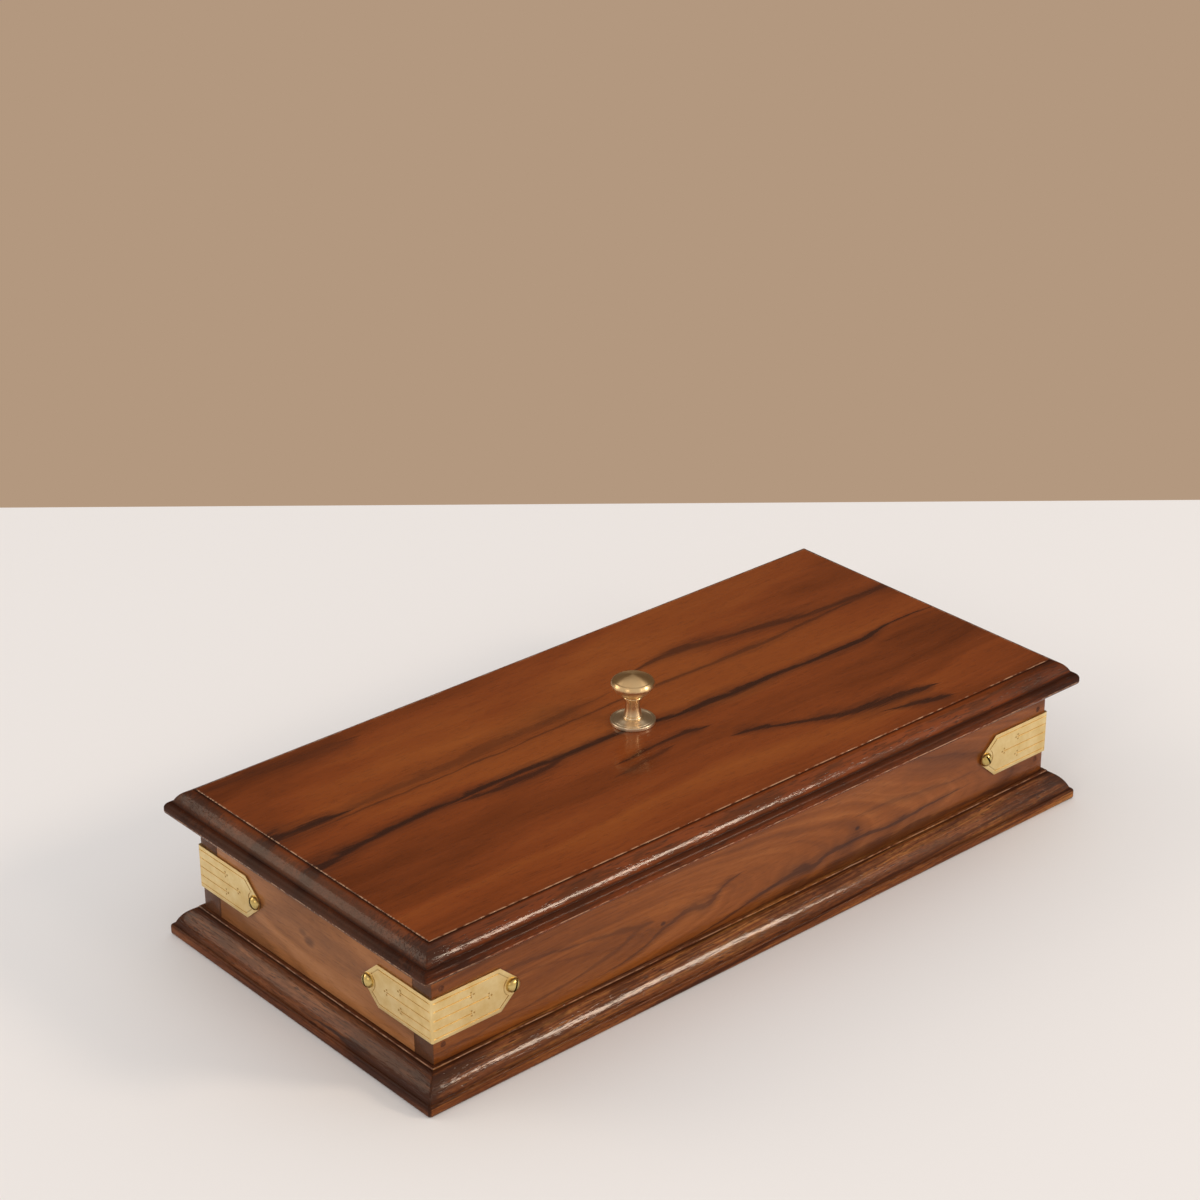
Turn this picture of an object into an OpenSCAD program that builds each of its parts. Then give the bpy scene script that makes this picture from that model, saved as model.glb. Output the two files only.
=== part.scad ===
// A low keepsake case in hardwood with a flat lift-off lid, brass corner straps and a turned brass knob.
// Origin: middle of the case on the surface it stands on. +X along the case, -Y the front, +Z up.
// All sizes are in millimetres.

/* [Case] */
// Length of the case over its end walls
case_l = 300; // [240:1:380]
// Width of the case over its long walls
case_w = 132.6; // [122:0.2:200]
// Height of the walls from the surface to the underside of the lid
wall_h = 49.8; // [46:0.2:90]
// Thickness of the walls
wall_t = 10; // [9:0.5:14]

/* [Bottom board] */
// Thickness of the plywood bottom board
bottom_t = 4; // [3:0.5:6]
// Depth of the rebate that takes the bottom board, measured into the wall
rebate_w = 5; // [4:0.5:6]
// Height of the bottom board above the surface
bottom_rise = 1.5; // [0.5:0.5:3]

/* [Plinth moulding] */
// Height of the moulding round the foot of the case
plinth_h = 12; // [11:0.2:18]
// How far the moulding's lip stands out from the walls
plinth_out = 9.6; // [8.4:0.2:14]
// Width of the flat fillet along the moulding's top
plinth_flat = 1.8; // [1:0.1:3]
// Step down from the fillet to the round
plinth_step = 0.6; // [0.2:0.1:1]
// Radius of the moulding's round
plinth_round_r = 12; // [10:0.5:20]
// Height of the lip below the round
plinth_lip_h = 4.2; // [3:0.1:5]
// How far the lip stands out past the foot of the round
plinth_lip_out = 1.1; // [0.5:0.1:2]

/* [Lid board] */
// Thickness of the lid board
lid_t = 10.5; // [9.5:0.1:14]
// How far the lid's lip stands out from the walls
lid_out = 9; // [8:0.2:14]
// Offset of the field's arris from the walls' outer faces
lid_field_out = 0.4; // [0:0.1:1.5]
// Step down from the field to the round
lid_step = 0.5; // [0.2:0.1:1]
// Radius of the lid's round
lid_round_r = 7.6; // [7.2:0.1:14]
// Height of the lid's lip below the round
lid_lip_h = 4.9; // [4:0.1:5.5]
// How far the lip stands out past the foot of the round
lid_lip_out = 2.4; // [1.5:0.1:3]

/* [Lid battens] */
// Width of a batten under the lid
batten_w = 12; // [9:0.5:20]
// Depth of a batten below the lid board
batten_h = 8; // [6:0.5:12]
// Gap between a batten and the walls it drops between
batten_gap = 0.75; // [0.4:0.05:1.5]
// Chamfer that leads a batten into the case
batten_lead = 1.5; // [0.5:0.1:3]

/* [Corner straps] */
// Height of a corner strap
strap_h = 17; // [14:0.5:19]
// Thickness of the sheet brass
strap_t = 0.8; // [0.5:0.1:1.5]
// Height of the strap's middle above the surface
strap_z = 29.2; // [28:0.2:33]
// Length of the clipped end of a leg
clip_l = 7; // [5:0.2:9]
// How far a leg runs past the middle of its screw
tip_past = 1.8; // [1.6:0.1:3]
// Width of the blunt tip
strap_tip_w = 4.4; // [3.6:0.2:6]
// Width of an engraved line
engrave_w = 0.4; // [0.3:0.05:0.6]
// Depth of an engraved line
engrave_d = 0.2; // [0.1:0.05:0.35]
// Distance of the engraved border from the strap's edge
border_in = 1.6; // [1:0.1:2.5]
// Spacing of the three engraved lines
line_pitch = 3.6; // [2.5:0.1:4]
// Gap between the middle engraved line's end and the screw
line_long_gap = 10.1; // [8:0.1:16]
// Gap between the outer engraved lines' ends and the screw
line_short_gap = 17.6; // [12:0.1:22]
// Diameter of a punched dot at a line's end
dot_d = 0.8; // [0.5:0.1:1]

/* [Strap screws] */
// Diameter of a strap screw's round head
screw_head_d = 5.5; // [4.5:0.1:6]
// Height of a strap screw's head
screw_head_h = 2; // [1.4:0.1:2.6]
// Diameter of a strap screw's shank
screw_d = 2.4; // [2:0.1:2.6]
// Length of a strap screw below its head
screw_l = 8.5; // [6:0.5:8.5]
// Distance of a strap screw from the corner
screw_x = 33.6; // [30:0.1:42]

/* [Knob] */
// Diameter of the knob's flange
flange_d = 16.9; // [14:0.1:24]
// Thickness of the flange at its rim
flange_t = 1.4; // [1:0.1:2]
// Diameter of the stem's waist
waist_d = 5.6; // [5.2:0.1:8]
// How much wider than its waist the stem flares below the collar, on the radius
stem_flare = 0.5; // [0.3:0.1:1.2]
// How far the bead at the stem's foot and the collar stand out from the waist
bead_out = 1.0; // [0.8:0.1:1.6]
// Height of the stem, from the lid to the underside of the head
stem_h = 11.4; // [9:0.2:16]
// Diameter of the knob's head
head_d = 16.4; // [14:0.2:24]
// Thickness of the knob's head
head_t = 8.2; // [7:0.2:9]
// Diameter of the threaded hole in the knob
knob_bore_d = 4; // [3:0.1:4]
// Depth of the threaded hole in the knob
knob_bore_l = 8; // [7:0.5:9]
// Distance of the knob from the middle of the lid, towards the left
knob_left = 1.8; // [0:0.1:3]
// Distance of the knob from the middle of the lid, towards the back
knob_back = 1.5; // [0:0.1:3]

/* [Pins and screws] */
// Diameter of the wire pins through the corners
corner_pin_d = 1.6; // [1.2:0.1:2]
// Length of the corner pins
corner_pin_l = 25; // [18:1:30]
// Spacing of the corner pins up the wall
corner_pin_pitch = 10.9; // [8:0.1:11]
// Distance of the corner pins from the corner
corner_pin_in = 4.2; // [3:0.1:5]
// Diameter of the wire pins through the bottom board
bottom_pin_d = 1.2; // [1:0.1:1.6]
// Length of the bottom pins
bottom_pin_l = 13; // [8:1:13]
// Diameter of a batten screw's shank
batten_screw_d = 3; // [2.5:0.1:4]
// Length of a batten screw
batten_screw_l = 14; // [13:0.5:15]
// Spacing of the two screws in a batten
batten_screw_pitch = 72; // [50:1:84]

/* [Hidden] */

// Half sizes and levels that several pieces share
half_l = case_l / 2;
half_w = case_w / 2;
inner_l = case_l - 2 * wall_t;
inner_w = case_w - 2 * wall_t;
floor_z = bottom_rise + bottom_t;
lid_top = wall_h + lid_t;
arc_steps = 10;
eps = 0.01;
slack = 0.05;

// Straps, screws and pins
strap_leg = screw_x + tip_past;
strap_clip = strap_leg - clip_l;
tip_half = strap_tip_w / 2;
strap_half = strap_h / 2;
ring_gap = 1.1;
ring_r = screw_head_d / 2 + ring_gap;
bend_steps = 6;
head_rim = 0.3;
slot_w = 0.8;
slot_d = 0.9;
screw_point = 3;
dot_apart = 1.2 * dot_d;
strap_slot_turns = [70, 20, 115, 60, 150, 35, 80, 130];
pin_head_d = 2.2;
pin_head_h = 0.8;
pin_set = 0.4;
bottom_pin_x = [0.1, 0.37, 0.63, 0.9];
bottom_pin_y = [0.25, 0.75];

// Small radii along the edges of the mouldings
plinth_nose_r = 0.8;
lid_nose_r = 1.4;

// Knob, with its levels above the lid
rim_r = 0.3;
flange_rise = 0.7;
flange_slope = 1.7;
bead_r = 0.5;
bead_h = 0.9;
bead_z = flange_t + flange_rise;
bead_top = bead_z + bead_h;
waist_up = 3.6;
waist_z = bead_top + waist_up;
collar_r = 0.5;
collar_h = 0.9;
neck_h = 0.4;
collar_z = stem_h - neck_h - collar_h;
head_under_h = 3.7;
head_edge_z = stem_h + head_under_h;
head_under_r = 6.4;
head_side_r = 2.2;
head_dome_r = 14;
knob_h = stem_h + head_t;

// Lid fastenings
knob_screw_d = knob_bore_d - 2 * slack;
knob_screw_grip = knob_bore_l - 1;
washer_d = 10;
washer_t = 0.8;
pan_head_d = 7.5;
pan_head_h = 2.4;
lid_hole_d = knob_bore_d + 0.5;
sunk_head_d = 2 * batten_screw_d;
sunk_head_h = batten_screw_d / 2;
batten_x = inner_l / 2 - batten_gap - batten_w / 2;

// Points on an arc of radius r from p to q, its centre on the left of the way from p to q
function arc_points(p, q, r, n) =
    let (m = (p + q) / 2, v = q - p, len = norm(v))
    let (c = m + [-v[1], v[0]] / len * sqrt(r * r - len * len / 4))
    let (a = atan2(p[1] - c[1], p[0] - c[0]), b = atan2(q[1] - c[1], q[0] - c[0]))
    let (turn = b - a > 180 ? b - a - 360 : (b - a < -180 ? b - a + 360 : b - a))
    [for (i = [0:n]) c + r * [cos(a + turn * i / n), sin(a + turn * i / n)]];

// Moulded edge, from the underside's outer end round to the flat on top: lip, nick, round, step
function edge_points(out, lip_h, lip_out, round_end, round_r, top, nose_r) = concat(
    arc_points([out - nose_r, 0], [out, nose_r], nose_r, 4),
    arc_points([out, lip_h - lip_out], [out - lip_out, lip_h], lip_out, 5),
    arc_points([out - lip_out - slack, lip_h], round_end, round_r, arc_steps),
    [[round_end[0], top]]);

function plinth_points() = edge_points(plinth_out, plinth_lip_h, plinth_lip_out,
    [plinth_flat, plinth_h - plinth_step], plinth_round_r, plinth_h, plinth_nose_r);

function lid_points() = edge_points(lid_out, lid_lip_h, lid_lip_out,
    [lid_field_out, lid_t - lid_step], lid_round_r, lid_t, lid_nose_r);

// Section across the lid for one of its two directions: both moulded edges and the flat field between
module lid_section(half) {
    right = [for (p = lid_points()) [half + p[0], p[1]]];
    left = [for (i = [len(right) - 1:-1:0]) [-right[i][0], right[i][1]]];
    polygon(concat(right, left));
}

// One strip of plinth moulding along +X, its back face on y = 0 and its ends mitred
module plinth_strip(length) {
    half = length / 2;
    outer = half + plinth_out;
    intersection() {
        translate([-outer, 0, 0])
            rotate([90, 0, 90])
                linear_extrude(2 * outer)
                    mirror([1, 0]) polygon(concat([[0, 0]], plinth_points(), [[0, plinth_h]]));
        linear_extrude(plinth_h)
            polygon([[-half, 0], [half, 0], [outer, -plinth_out], [-outer, -plinth_out]]);
    }
}

// Places for the corner pins: through a long wall into the end of a short wall
module at_corner_pins(x_sides, y_sides) {
    for (sx = x_sides, sy = y_sides, k = [-1, 0, 1])
        translate([sx * (half_l - corner_pin_in), sy * half_w, strap_z + k * corner_pin_pitch])
            rotate([sy * 90, 0, 0]) children();
}

// Places for the bottom pins, driven upwards
module at_bottom_pins_long(y_sides) {
    for (sy = y_sides, f = bottom_pin_x)
        translate([(f - 0.5) * inner_l, sy * (inner_w / 2 + rebate_w / 2), bottom_rise]) children();
}

module at_bottom_pins_short(x_sides) {
    for (sx = x_sides, f = bottom_pin_y)
        translate([sx * (inner_l / 2 + rebate_w / 2), (f - 0.5) * inner_w, bottom_rise]) children();
}

// A wire pin along +Z, its head at the bottom
module wire_pin(d, length) {
    rotate_extrude($fn = 24)
        polygon([[0, 0], [pin_head_d / 2, 0], [pin_head_d / 2, pin_head_h], [d / 2, pin_head_h],
            [d / 2, length - d], [0, length]]);
}

// Hole that a wire pin fills
module wire_pin_hole(d, length, set) {
    translate([0, 0, -set - eps]) cylinder(d = pin_head_d + 2 * slack, h = pin_head_h + set + eps, $fn = 24);
    cylinder(d = d + 2 * slack, h = length + slack, $fn = 24);
}

// The frame of a corner strap: its corner on the case's corner edge, legs along +X and +Y
module at_strap(sx, sy) {
    translate([sx * half_l, sy * half_w, strap_z])
        mirror([sx > 0 ? 1 : 0, 0, 0]) mirror([0, sy > 0 ? 1 : 0, 0]) children();
}

// The two faces of a strap: children lie in XZ with their outer side towards -Y
module on_both_legs() {
    children();
    mirror([1, -1, 0]) children();
}

// Screw through the tip of a leg, pointing into the wall, its seat at z = 0
module at_leg_screw() {
    translate([screw_x, -strap_t, 0]) rotate([-90, 0, 0]) children();
}

module strap_pilot() {
    cylinder(d = screw_d + 2 * slack, h = strap_t + screw_l + slack, $fn = 32);
}

module strap_holes(x_sides, y_sides) {
    for (sx = x_sides, sy = y_sides) at_strap(sx, sy) on_both_legs() at_leg_screw() strap_pilot();
}

// Long wall on the side sy: rebated for the bottom board and drilled for pins and strap screws
module long_wall(sy) {
    difference() {
        translate([-half_l, sy > 0 ? half_w - wall_t : -half_w, 0]) cube([case_l, wall_t, wall_h]);
        bottom_rebate();
        at_corner_pins([-1, 1], [sy])
            translate([0, 0, pin_set]) wire_pin_hole(corner_pin_d, corner_pin_l, pin_set);
        at_bottom_pins_long([sy]) wire_pin_hole(bottom_pin_d, bottom_pin_l, 0);
        intersection() {
            strap_holes([-1, 1], [sy]);
            translate([-inner_l / 2, -case_w, 0]) cube([inner_l, 2 * case_w, wall_h]);
        }
    }
}

// End wall on the side sx, held between the long walls
module end_wall(sx) {
    difference() {
        translate([sx > 0 ? half_l - wall_t : -half_l, -inner_w / 2, 0]) cube([wall_t, inner_w, wall_h]);
        bottom_rebate();
        at_corner_pins([sx], [-1, 1])
            translate([0, 0, pin_set]) wire_pin_hole(corner_pin_d, corner_pin_l, pin_set);
        at_bottom_pins_short([sx]) wire_pin_hole(bottom_pin_d, bottom_pin_l, 0);
        intersection() {
            strap_holes([sx], [-1, 1]);
            translate([-case_l, -inner_w / 2, 0]) cube([2 * case_l, inner_w, wall_h]);
        }
    }
}

module bottom_rebate() {
    translate([-inner_l / 2 - rebate_w, -inner_w / 2 - rebate_w, -eps])
        cube([inner_l + 2 * rebate_w, inner_w + 2 * rebate_w, floor_z + eps]);
}

// Outline of one leg, in XZ with the case's corner at x = 0
module leg_outline() {
    polygon([[0, -strap_half], [strap_clip, -strap_half], [strap_leg, -tip_half], [strap_leg, tip_half],
        [strap_clip, strap_half], [0, strap_half]]);
}

// Engraving of one leg: a border that turns round the screw, and three lines that end in punched dots
module leg_engraving() {
    clip_rise = strap_half - tip_half;
    clip_turn = atan2(clip_rise, clip_l);
    top = strap_half - border_in;
    start_x = strap_clip - border_in * tan(clip_turn / 2);
    half_line = engrave_w / 2;
    line_long = screw_x - line_long_gap;
    line_short = screw_x - line_short_gap;
    for (s = [-1, 1]) {
        translate([0, s * top - half_line]) square([start_x + half_line, engrave_w]);
        difference() {
            translate([start_x, s * top])
                rotate(-s * clip_turn)
                    translate([0, -half_line]) square([norm([clip_l, clip_rise]), engrave_w]);
            translate([screw_x, 0]) circle(ring_r, $fn = 48);
        }
        translate([0, s * line_pitch - half_line]) square([line_short, engrave_w]);
        line_end(line_short, s * line_pitch);
    }
    translate([0, -half_line]) square([line_long, engrave_w]);
    line_end(line_long, 0);
    intersection() {
        difference() {
            translate([screw_x, 0]) circle(ring_r + half_line, $fn = 48);
            translate([screw_x, 0]) circle(ring_r - half_line, $fn = 48);
        }
        polygon([[screw_x, 0], [start_x, top], [strap_clip / 2, 0], [start_x, -top]]);
    }
}

// Three dots round the end of a line
module line_end(x, z) {
    for (turn = [-100, 0, 100]) translate([x, z]) rotate(turn) translate([dot_apart, 0]) circle(d = dot_d, $fn = 16);
}

// A strap bent round a corner from one piece of sheet
module corner_strap() {
    bend = [for (i = [0:bend_steps]) let (a = 270 - 90 * i / bend_steps) strap_t * [cos(a), sin(a)]];
    difference() {
        translate([0, 0, -strap_half])
            linear_extrude(strap_h)
                polygon(concat([[0, 0], [strap_leg, 0], [strap_leg, -strap_t]], bend,
                    [[-strap_t, strap_leg], [0, strap_leg]]));
        on_both_legs() {
            translate([0, eps, 0])
                rotate([90, 0, 0])
                    linear_extrude(strap_t + 2 * eps)
                        difference() {
                            translate([strap_clip - eps, -strap_h]) square([strap_leg, 2 * strap_h]);
                            leg_outline();
                        }
            translate([0, -strap_t + engrave_d, 0])
                rotate([90, 0, 0]) linear_extrude(engrave_d + eps) leg_engraving();
            at_leg_screw() translate([0, 0, -eps]) strap_pilot();
        }
    }
}

// Round-headed slotted wood screw, its seat at z = 0 and its point along +Z
module strap_screw(turn) {
    r = screw_head_d / 2;
    dome = screw_head_h - head_rim;
    ball = (r * r + dome * dome) / (2 * dome);
    head = [for (i = [bend_steps:-1:0]) let (a = asin(r / ball) * i / bend_steps)
        [ball * sin(a), ball - screw_head_h - ball * cos(a)]];
    difference() {
        rotate_extrude($fn = 36)
            polygon(concat([[0, screw_l], [screw_d / 2, screw_l - screw_point], [screw_d / 2, 0], [r, 0]], head));
        rotate([0, 0, turn])
            translate([-screw_head_d, -slot_w / 2, -screw_head_h - eps])
                cube([2 * screw_head_d, slot_w, slot_d + eps]);
    }
}

// Batten under the lid: a strip whose lower edges are chamfered where they meet the case
module batten(sx) {
    difference() {
        translate([batten_x * sx - batten_w / 2, -inner_w / 2 + batten_gap, wall_h - batten_h])
            cube([batten_w, inner_w - 2 * batten_gap, batten_h]);
        for (s = [-1, 1])
            translate([sx * batten_x, s * (inner_w / 2 - batten_gap), wall_h - batten_h])
                rotate([45, 0, 0])
                    cube([2 * batten_w, batten_lead * sqrt(2), batten_lead * sqrt(2)], center = true);
        translate([sx * (inner_l / 2 - batten_gap), 0, wall_h - batten_h])
            rotate([0, 45, 0])
                cube([batten_lead * sqrt(2), 2 * inner_w, batten_lead * sqrt(2)], center = true);
        at_batten_screws([sx]) batten_screw_space(slack);
    }
}

module at_batten_screws(x_sides) {
    for (sx = x_sides, s = [-1, 1])
        translate([sx * batten_x, s * batten_screw_pitch / 2, wall_h - batten_h]) children();
}

// Countersunk screw pointing up, or the hole for it with a gap all round
module batten_screw_space(gap) {
    r = batten_screw_d / 2 + gap;
    head_r = sunk_head_d / 2 + gap;
    rotate_extrude($fn = 32)
        polygon([[0, -gap], [head_r, -gap], [head_r, 0], [r, sunk_head_h + gap],
            [r, batten_screw_l - screw_point], [0, batten_screw_l + gap]]);
}

// The knob's axis, at a level above the floor
module at_knob(level) {
    translate([-knob_left, knob_back, level]) children();
}

// Outline of the turned knob, from the axis at the bottom round to the top
function knob_points() =
    let (flange_r = flange_d / 2, head_r = head_d / 2, waist_r = waist_d / 2)
    let (foot_r = waist_r + bead_out - rim_r, flare_h = collar_z - waist_z)
    concat(
        [[0, 0], [flange_r - rim_r, 0], [flange_r, rim_r], [flange_r, flange_t - rim_r],
            [flange_r - rim_r, flange_t], [waist_r + flange_slope, bead_z]],
        arc_points([foot_r, bead_z], [foot_r - rim_r, bead_top], bead_r, arc_steps / 2),
        [for (i = [0:arc_steps])
            let (z = bead_top + (collar_z - bead_top) * i / arc_steps)
            [waist_r + stem_flare * pow((z - waist_z) / flare_h, 2), z]],
        arc_points([foot_r, collar_z], [foot_r, collar_z + collar_h], collar_r, arc_steps / 2),
        [[waist_r + rim_r, stem_h - rim_r]],
        arc_points([waist_r + stem_flare, stem_h], [head_r - rim_r, head_edge_z], head_under_r, arc_steps / 2),
        arc_points([head_r - rim_r / 6, head_edge_z + 2 * rim_r], [head_r - 3 * rim_r, knob_h - head_side_r],
            head_side_r, arc_steps / 2),
        arc_points([head_r - 4 * rim_r, knob_h - head_side_r], [0, knob_h], head_dome_r, arc_steps));

module front_wall() { color("#7a4426") long_wall(-1); }

module back_wall() { color("#7a4426") long_wall(1); }

module left_wall() { color("#6f4027") end_wall(-1); }

module right_wall() { color("#6f4027") end_wall(1); }

module bottom_board() {
    color("#b08a5c")
        difference() {
            translate([-inner_l / 2 - rebate_w, -inner_w / 2 - rebate_w, bottom_rise])
                cube([inner_l + 2 * rebate_w, inner_w + 2 * rebate_w, bottom_t]);
            at_bottom_pins_long([-1, 1]) wire_pin_hole(bottom_pin_d, bottom_pin_l, eps);
            at_bottom_pins_short([-1, 1]) wire_pin_hole(bottom_pin_d, bottom_pin_l, eps);
        }
}

module front_plinth_moulding() { color("#6b3c28") translate([0, -half_w, 0]) plinth_strip(case_l); }

module back_plinth_moulding() { color("#6b3c28") translate([0, half_w, 0]) rotate(180) plinth_strip(case_l); }

module left_plinth_moulding() { color("#5d3526") translate([-half_l, 0, 0]) rotate(-90) plinth_strip(case_w); }

module right_plinth_moulding() { color("#5d3526") translate([half_l, 0, 0]) rotate(90) plinth_strip(case_w); }

module front_left_strap() { color("#d9bf7e") at_strap(-1, -1) corner_strap(); }

module front_right_strap() { color("#d9bf7e") at_strap(1, -1) corner_strap(); }

module back_left_strap() { color("#d9bf7e") at_strap(-1, 1) corner_strap(); }

module back_right_strap() { color("#d9bf7e") at_strap(1, 1) corner_strap(); }

module strap_screws() {
    color("#c9a94f")
        for (i = [0:3]) {
            sx = i % 2 == 0 ? -1 : 1;
            sy = i < 2 ? -1 : 1;
            at_strap(sx, sy) at_leg_screw() strap_screw(strap_slot_turns[2 * i]);
            at_strap(sx, sy) mirror([1, -1, 0]) at_leg_screw() strap_screw(strap_slot_turns[2 * i + 1]);
        }
}

module corner_pins() {
    color("#3b2b23")
        at_corner_pins([-1, 1], [-1, 1]) translate([0, 0, pin_set]) wire_pin(corner_pin_d, corner_pin_l);
}

module bottom_pins() {
    color("#8b8b88") {
        at_bottom_pins_long([-1, 1]) wire_pin(bottom_pin_d, bottom_pin_l);
        at_bottom_pins_short([-1, 1]) wire_pin(bottom_pin_d, bottom_pin_l);
    }
}

module lid_board() {
    reach_x = half_l + lid_out;
    reach_y = half_w + lid_out;
    color("#78401f")
        difference() {
            translate([0, 0, wall_h])
                intersection() {
                    translate([0, reach_y, 0]) rotate([90, 0, 0]) linear_extrude(2 * reach_y) lid_section(half_l);
                    translate([-reach_x, 0, 0]) rotate([90, 0, 90]) linear_extrude(2 * reach_x) lid_section(half_w);
                }
            at_knob(wall_h - eps) cylinder(d = lid_hole_d, h = lid_t + 2 * eps, $fn = 48);
            at_batten_screws([-1, 1]) batten_screw_space(slack);
        }
}

module left_batten() { color("#6f4027") batten(-1); }

module right_batten() { color("#6f4027") batten(1); }

module batten_screws() { color("#c9a94f") at_batten_screws([-1, 1]) batten_screw(); }

module batten_screw() {
    difference() {
        batten_screw_space(0);
        rotate(20) translate([-sunk_head_d, -slot_w / 2, -eps]) cube([2 * sunk_head_d, slot_w, slot_d + eps]);
    }
}

module knob() {
    color("#b99a63")
        at_knob(lid_top)
            difference() {
                rotate_extrude($fn = 96) polygon(knob_points());
                translate([0, 0, -eps]) cylinder(d = knob_bore_d, h = knob_bore_l + eps, $fn = 48);
            }
}

module knob_screw() {
    color("#a8a8a4")
        at_knob(wall_h - washer_t)
            difference() {
                union() {
                    cylinder(d = knob_screw_d, h = washer_t + lid_t + knob_screw_grip, $fn = 48);
                    translate([0, 0, -pan_head_h]) cylinder(d = pan_head_d, h = pan_head_h, $fn = 48);
                }
                translate([-pan_head_d, -slot_w / 2, -pan_head_h - eps])
                    cube([2 * pan_head_d, slot_w, slot_d + eps]);
            }
}

module knob_washer() {
    color("#a8a8a4")
        at_knob(wall_h - washer_t)
            difference() {
                cylinder(d = washer_d, h = washer_t, $fn = 48);
                translate([0, 0, -eps]) cylinder(d = lid_hole_d, h = washer_t + 2 * eps, $fn = 48);
            }
}

front_wall();
back_wall();
left_wall();
right_wall();
bottom_board();
front_plinth_moulding();
back_plinth_moulding();
left_plinth_moulding();
right_plinth_moulding();
front_left_strap();
front_right_strap();
back_left_strap();
back_right_strap();
strap_screws();
corner_pins();
bottom_pins();
lid_board();
left_batten();
right_batten();
batten_screws();
knob();
knob_screw();
knob_washer();
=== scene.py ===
"""A low keepsake case in rosewood with a flat lift-off lid, brass corner straps and a turned brass knob."""
from math import atan2, cos, hypot, pi, radians, sin, sqrt

import bmesh
import bpy
from mathutils import Matrix, Vector, noise


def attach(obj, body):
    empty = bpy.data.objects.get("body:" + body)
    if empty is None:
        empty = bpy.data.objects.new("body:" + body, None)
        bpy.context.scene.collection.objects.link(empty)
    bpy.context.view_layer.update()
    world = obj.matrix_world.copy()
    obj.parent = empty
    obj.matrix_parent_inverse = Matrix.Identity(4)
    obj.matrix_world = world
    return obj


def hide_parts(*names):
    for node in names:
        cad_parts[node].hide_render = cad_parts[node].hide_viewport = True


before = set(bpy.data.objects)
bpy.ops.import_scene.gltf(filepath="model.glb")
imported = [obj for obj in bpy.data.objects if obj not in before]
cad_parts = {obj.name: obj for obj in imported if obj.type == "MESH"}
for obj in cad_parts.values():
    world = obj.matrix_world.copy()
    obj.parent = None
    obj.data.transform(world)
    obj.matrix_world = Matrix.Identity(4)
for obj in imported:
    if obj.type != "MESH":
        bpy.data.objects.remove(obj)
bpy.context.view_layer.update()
MM = 0.001


# Walls
# Four varnished rosewood boards, about 10 mm thick. The long walls run through to the ends, and the end walls
# are butted between them and held with wire pins. The edges are only eased with fine paper.
WALL_FACE_X = 150
WALL_FACE_Y = 66.3
WALL_H = 49.8
WALL_EASE = 0.3
LONG_EDGE = 6
MERGE = 0.002
CREASE = radians(32)


def linear(colour):
    """An sRGB hex colour as the linear values that sockets take."""
    parts = [int(colour[i:i + 2], 16) / 255 for i in (1, 3, 5)]
    return [p / 12.92 if p <= 0.04045 else ((p + 0.055) / 1.055) ** 2.4 for p in parts] + [1.0]


def add(tree, kind, inputs=(), settings=None):
    """Adds one node, links or fills its inputs, and returns its outputs. A bare setting is its operation."""
    made = tree.nodes.new(kind if "Node" in kind else "ShaderNode" + kind)
    if isinstance(settings, str):
        ways = ("operation", "interpolation_type", "data_type")
        settings = {next(way for way in ways if hasattr(made, way)): settings}
    for name, value in (settings or {}).items():
        if name == "stops":
            ramp = made.color_ramp
            while len(ramp.elements) < len(value):
                ramp.elements.new(0.5)
            for element, (place, colour) in zip(ramp.elements, value):
                element.position = place
                element.color = linear(colour)
        elif name == "points":
            curve = made.mapping.curves[0]
            while len(curve.points) < len(value):
                curve.points.new(0.5, 0.5)
            for point, place in zip(curve.points, value):
                point.location = place
            made.mapping.update()
        else:
            setattr(made, name, value)
    for name, value in inputs.items() if isinstance(inputs, dict) else enumerate(inputs):
        if isinstance(value, bpy.types.NodeSocket):
            tree.links.new(value, made.inputs[name])
        else:
            made.inputs[name].default_value = linear(value) if str(value).startswith("#") else value
    return made.outputs


def new_material(name):
    """A new material and its empty tree."""
    material = bpy.data.materials.new(name)
    material.use_nodes = True
    material.node_tree.nodes.clear()
    return material, material.node_tree


def object_mm(tree):
    """The place on the object, in millimetres."""
    return add(tree, "VectorMath", (add(tree, "TexCoord")["Object"], (1000, 1000, 1000)), "MULTIPLY")[0]


def surfaced(material, sockets):
    """Ends a material's tree with its surface."""
    shader = add(material.node_tree, "BsdfPrincipled", sockets)[0]
    add(material.node_tree, "OutputMaterial", {"Surface": shader})
    return material


def piece(name, mesh, materials, body, nodes):
    """Puts a finished mesh in the scene in place of the CAD nodes that it stands for."""
    for material in materials:
        mesh.materials.append(material)
    made = bpy.data.objects.new(name, mesh)
    bpy.context.scene.collection.objects.link(made)
    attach(made, body)
    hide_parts(*nodes)


def smooth_mesh(bm, name):
    """Writes a bmesh to a mesh that is smooth, except along its creases."""
    mesh = bpy.data.meshes.new(name)
    bm.to_mesh(mesh)
    bm.free()
    if "custom_normal" in mesh.attributes:
        mesh.attributes.remove(mesh.attributes["custom_normal"])
    mesh.shade_smooth()
    mesh.set_sharp_from_angle(angle=CREASE)
    return mesh


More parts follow.
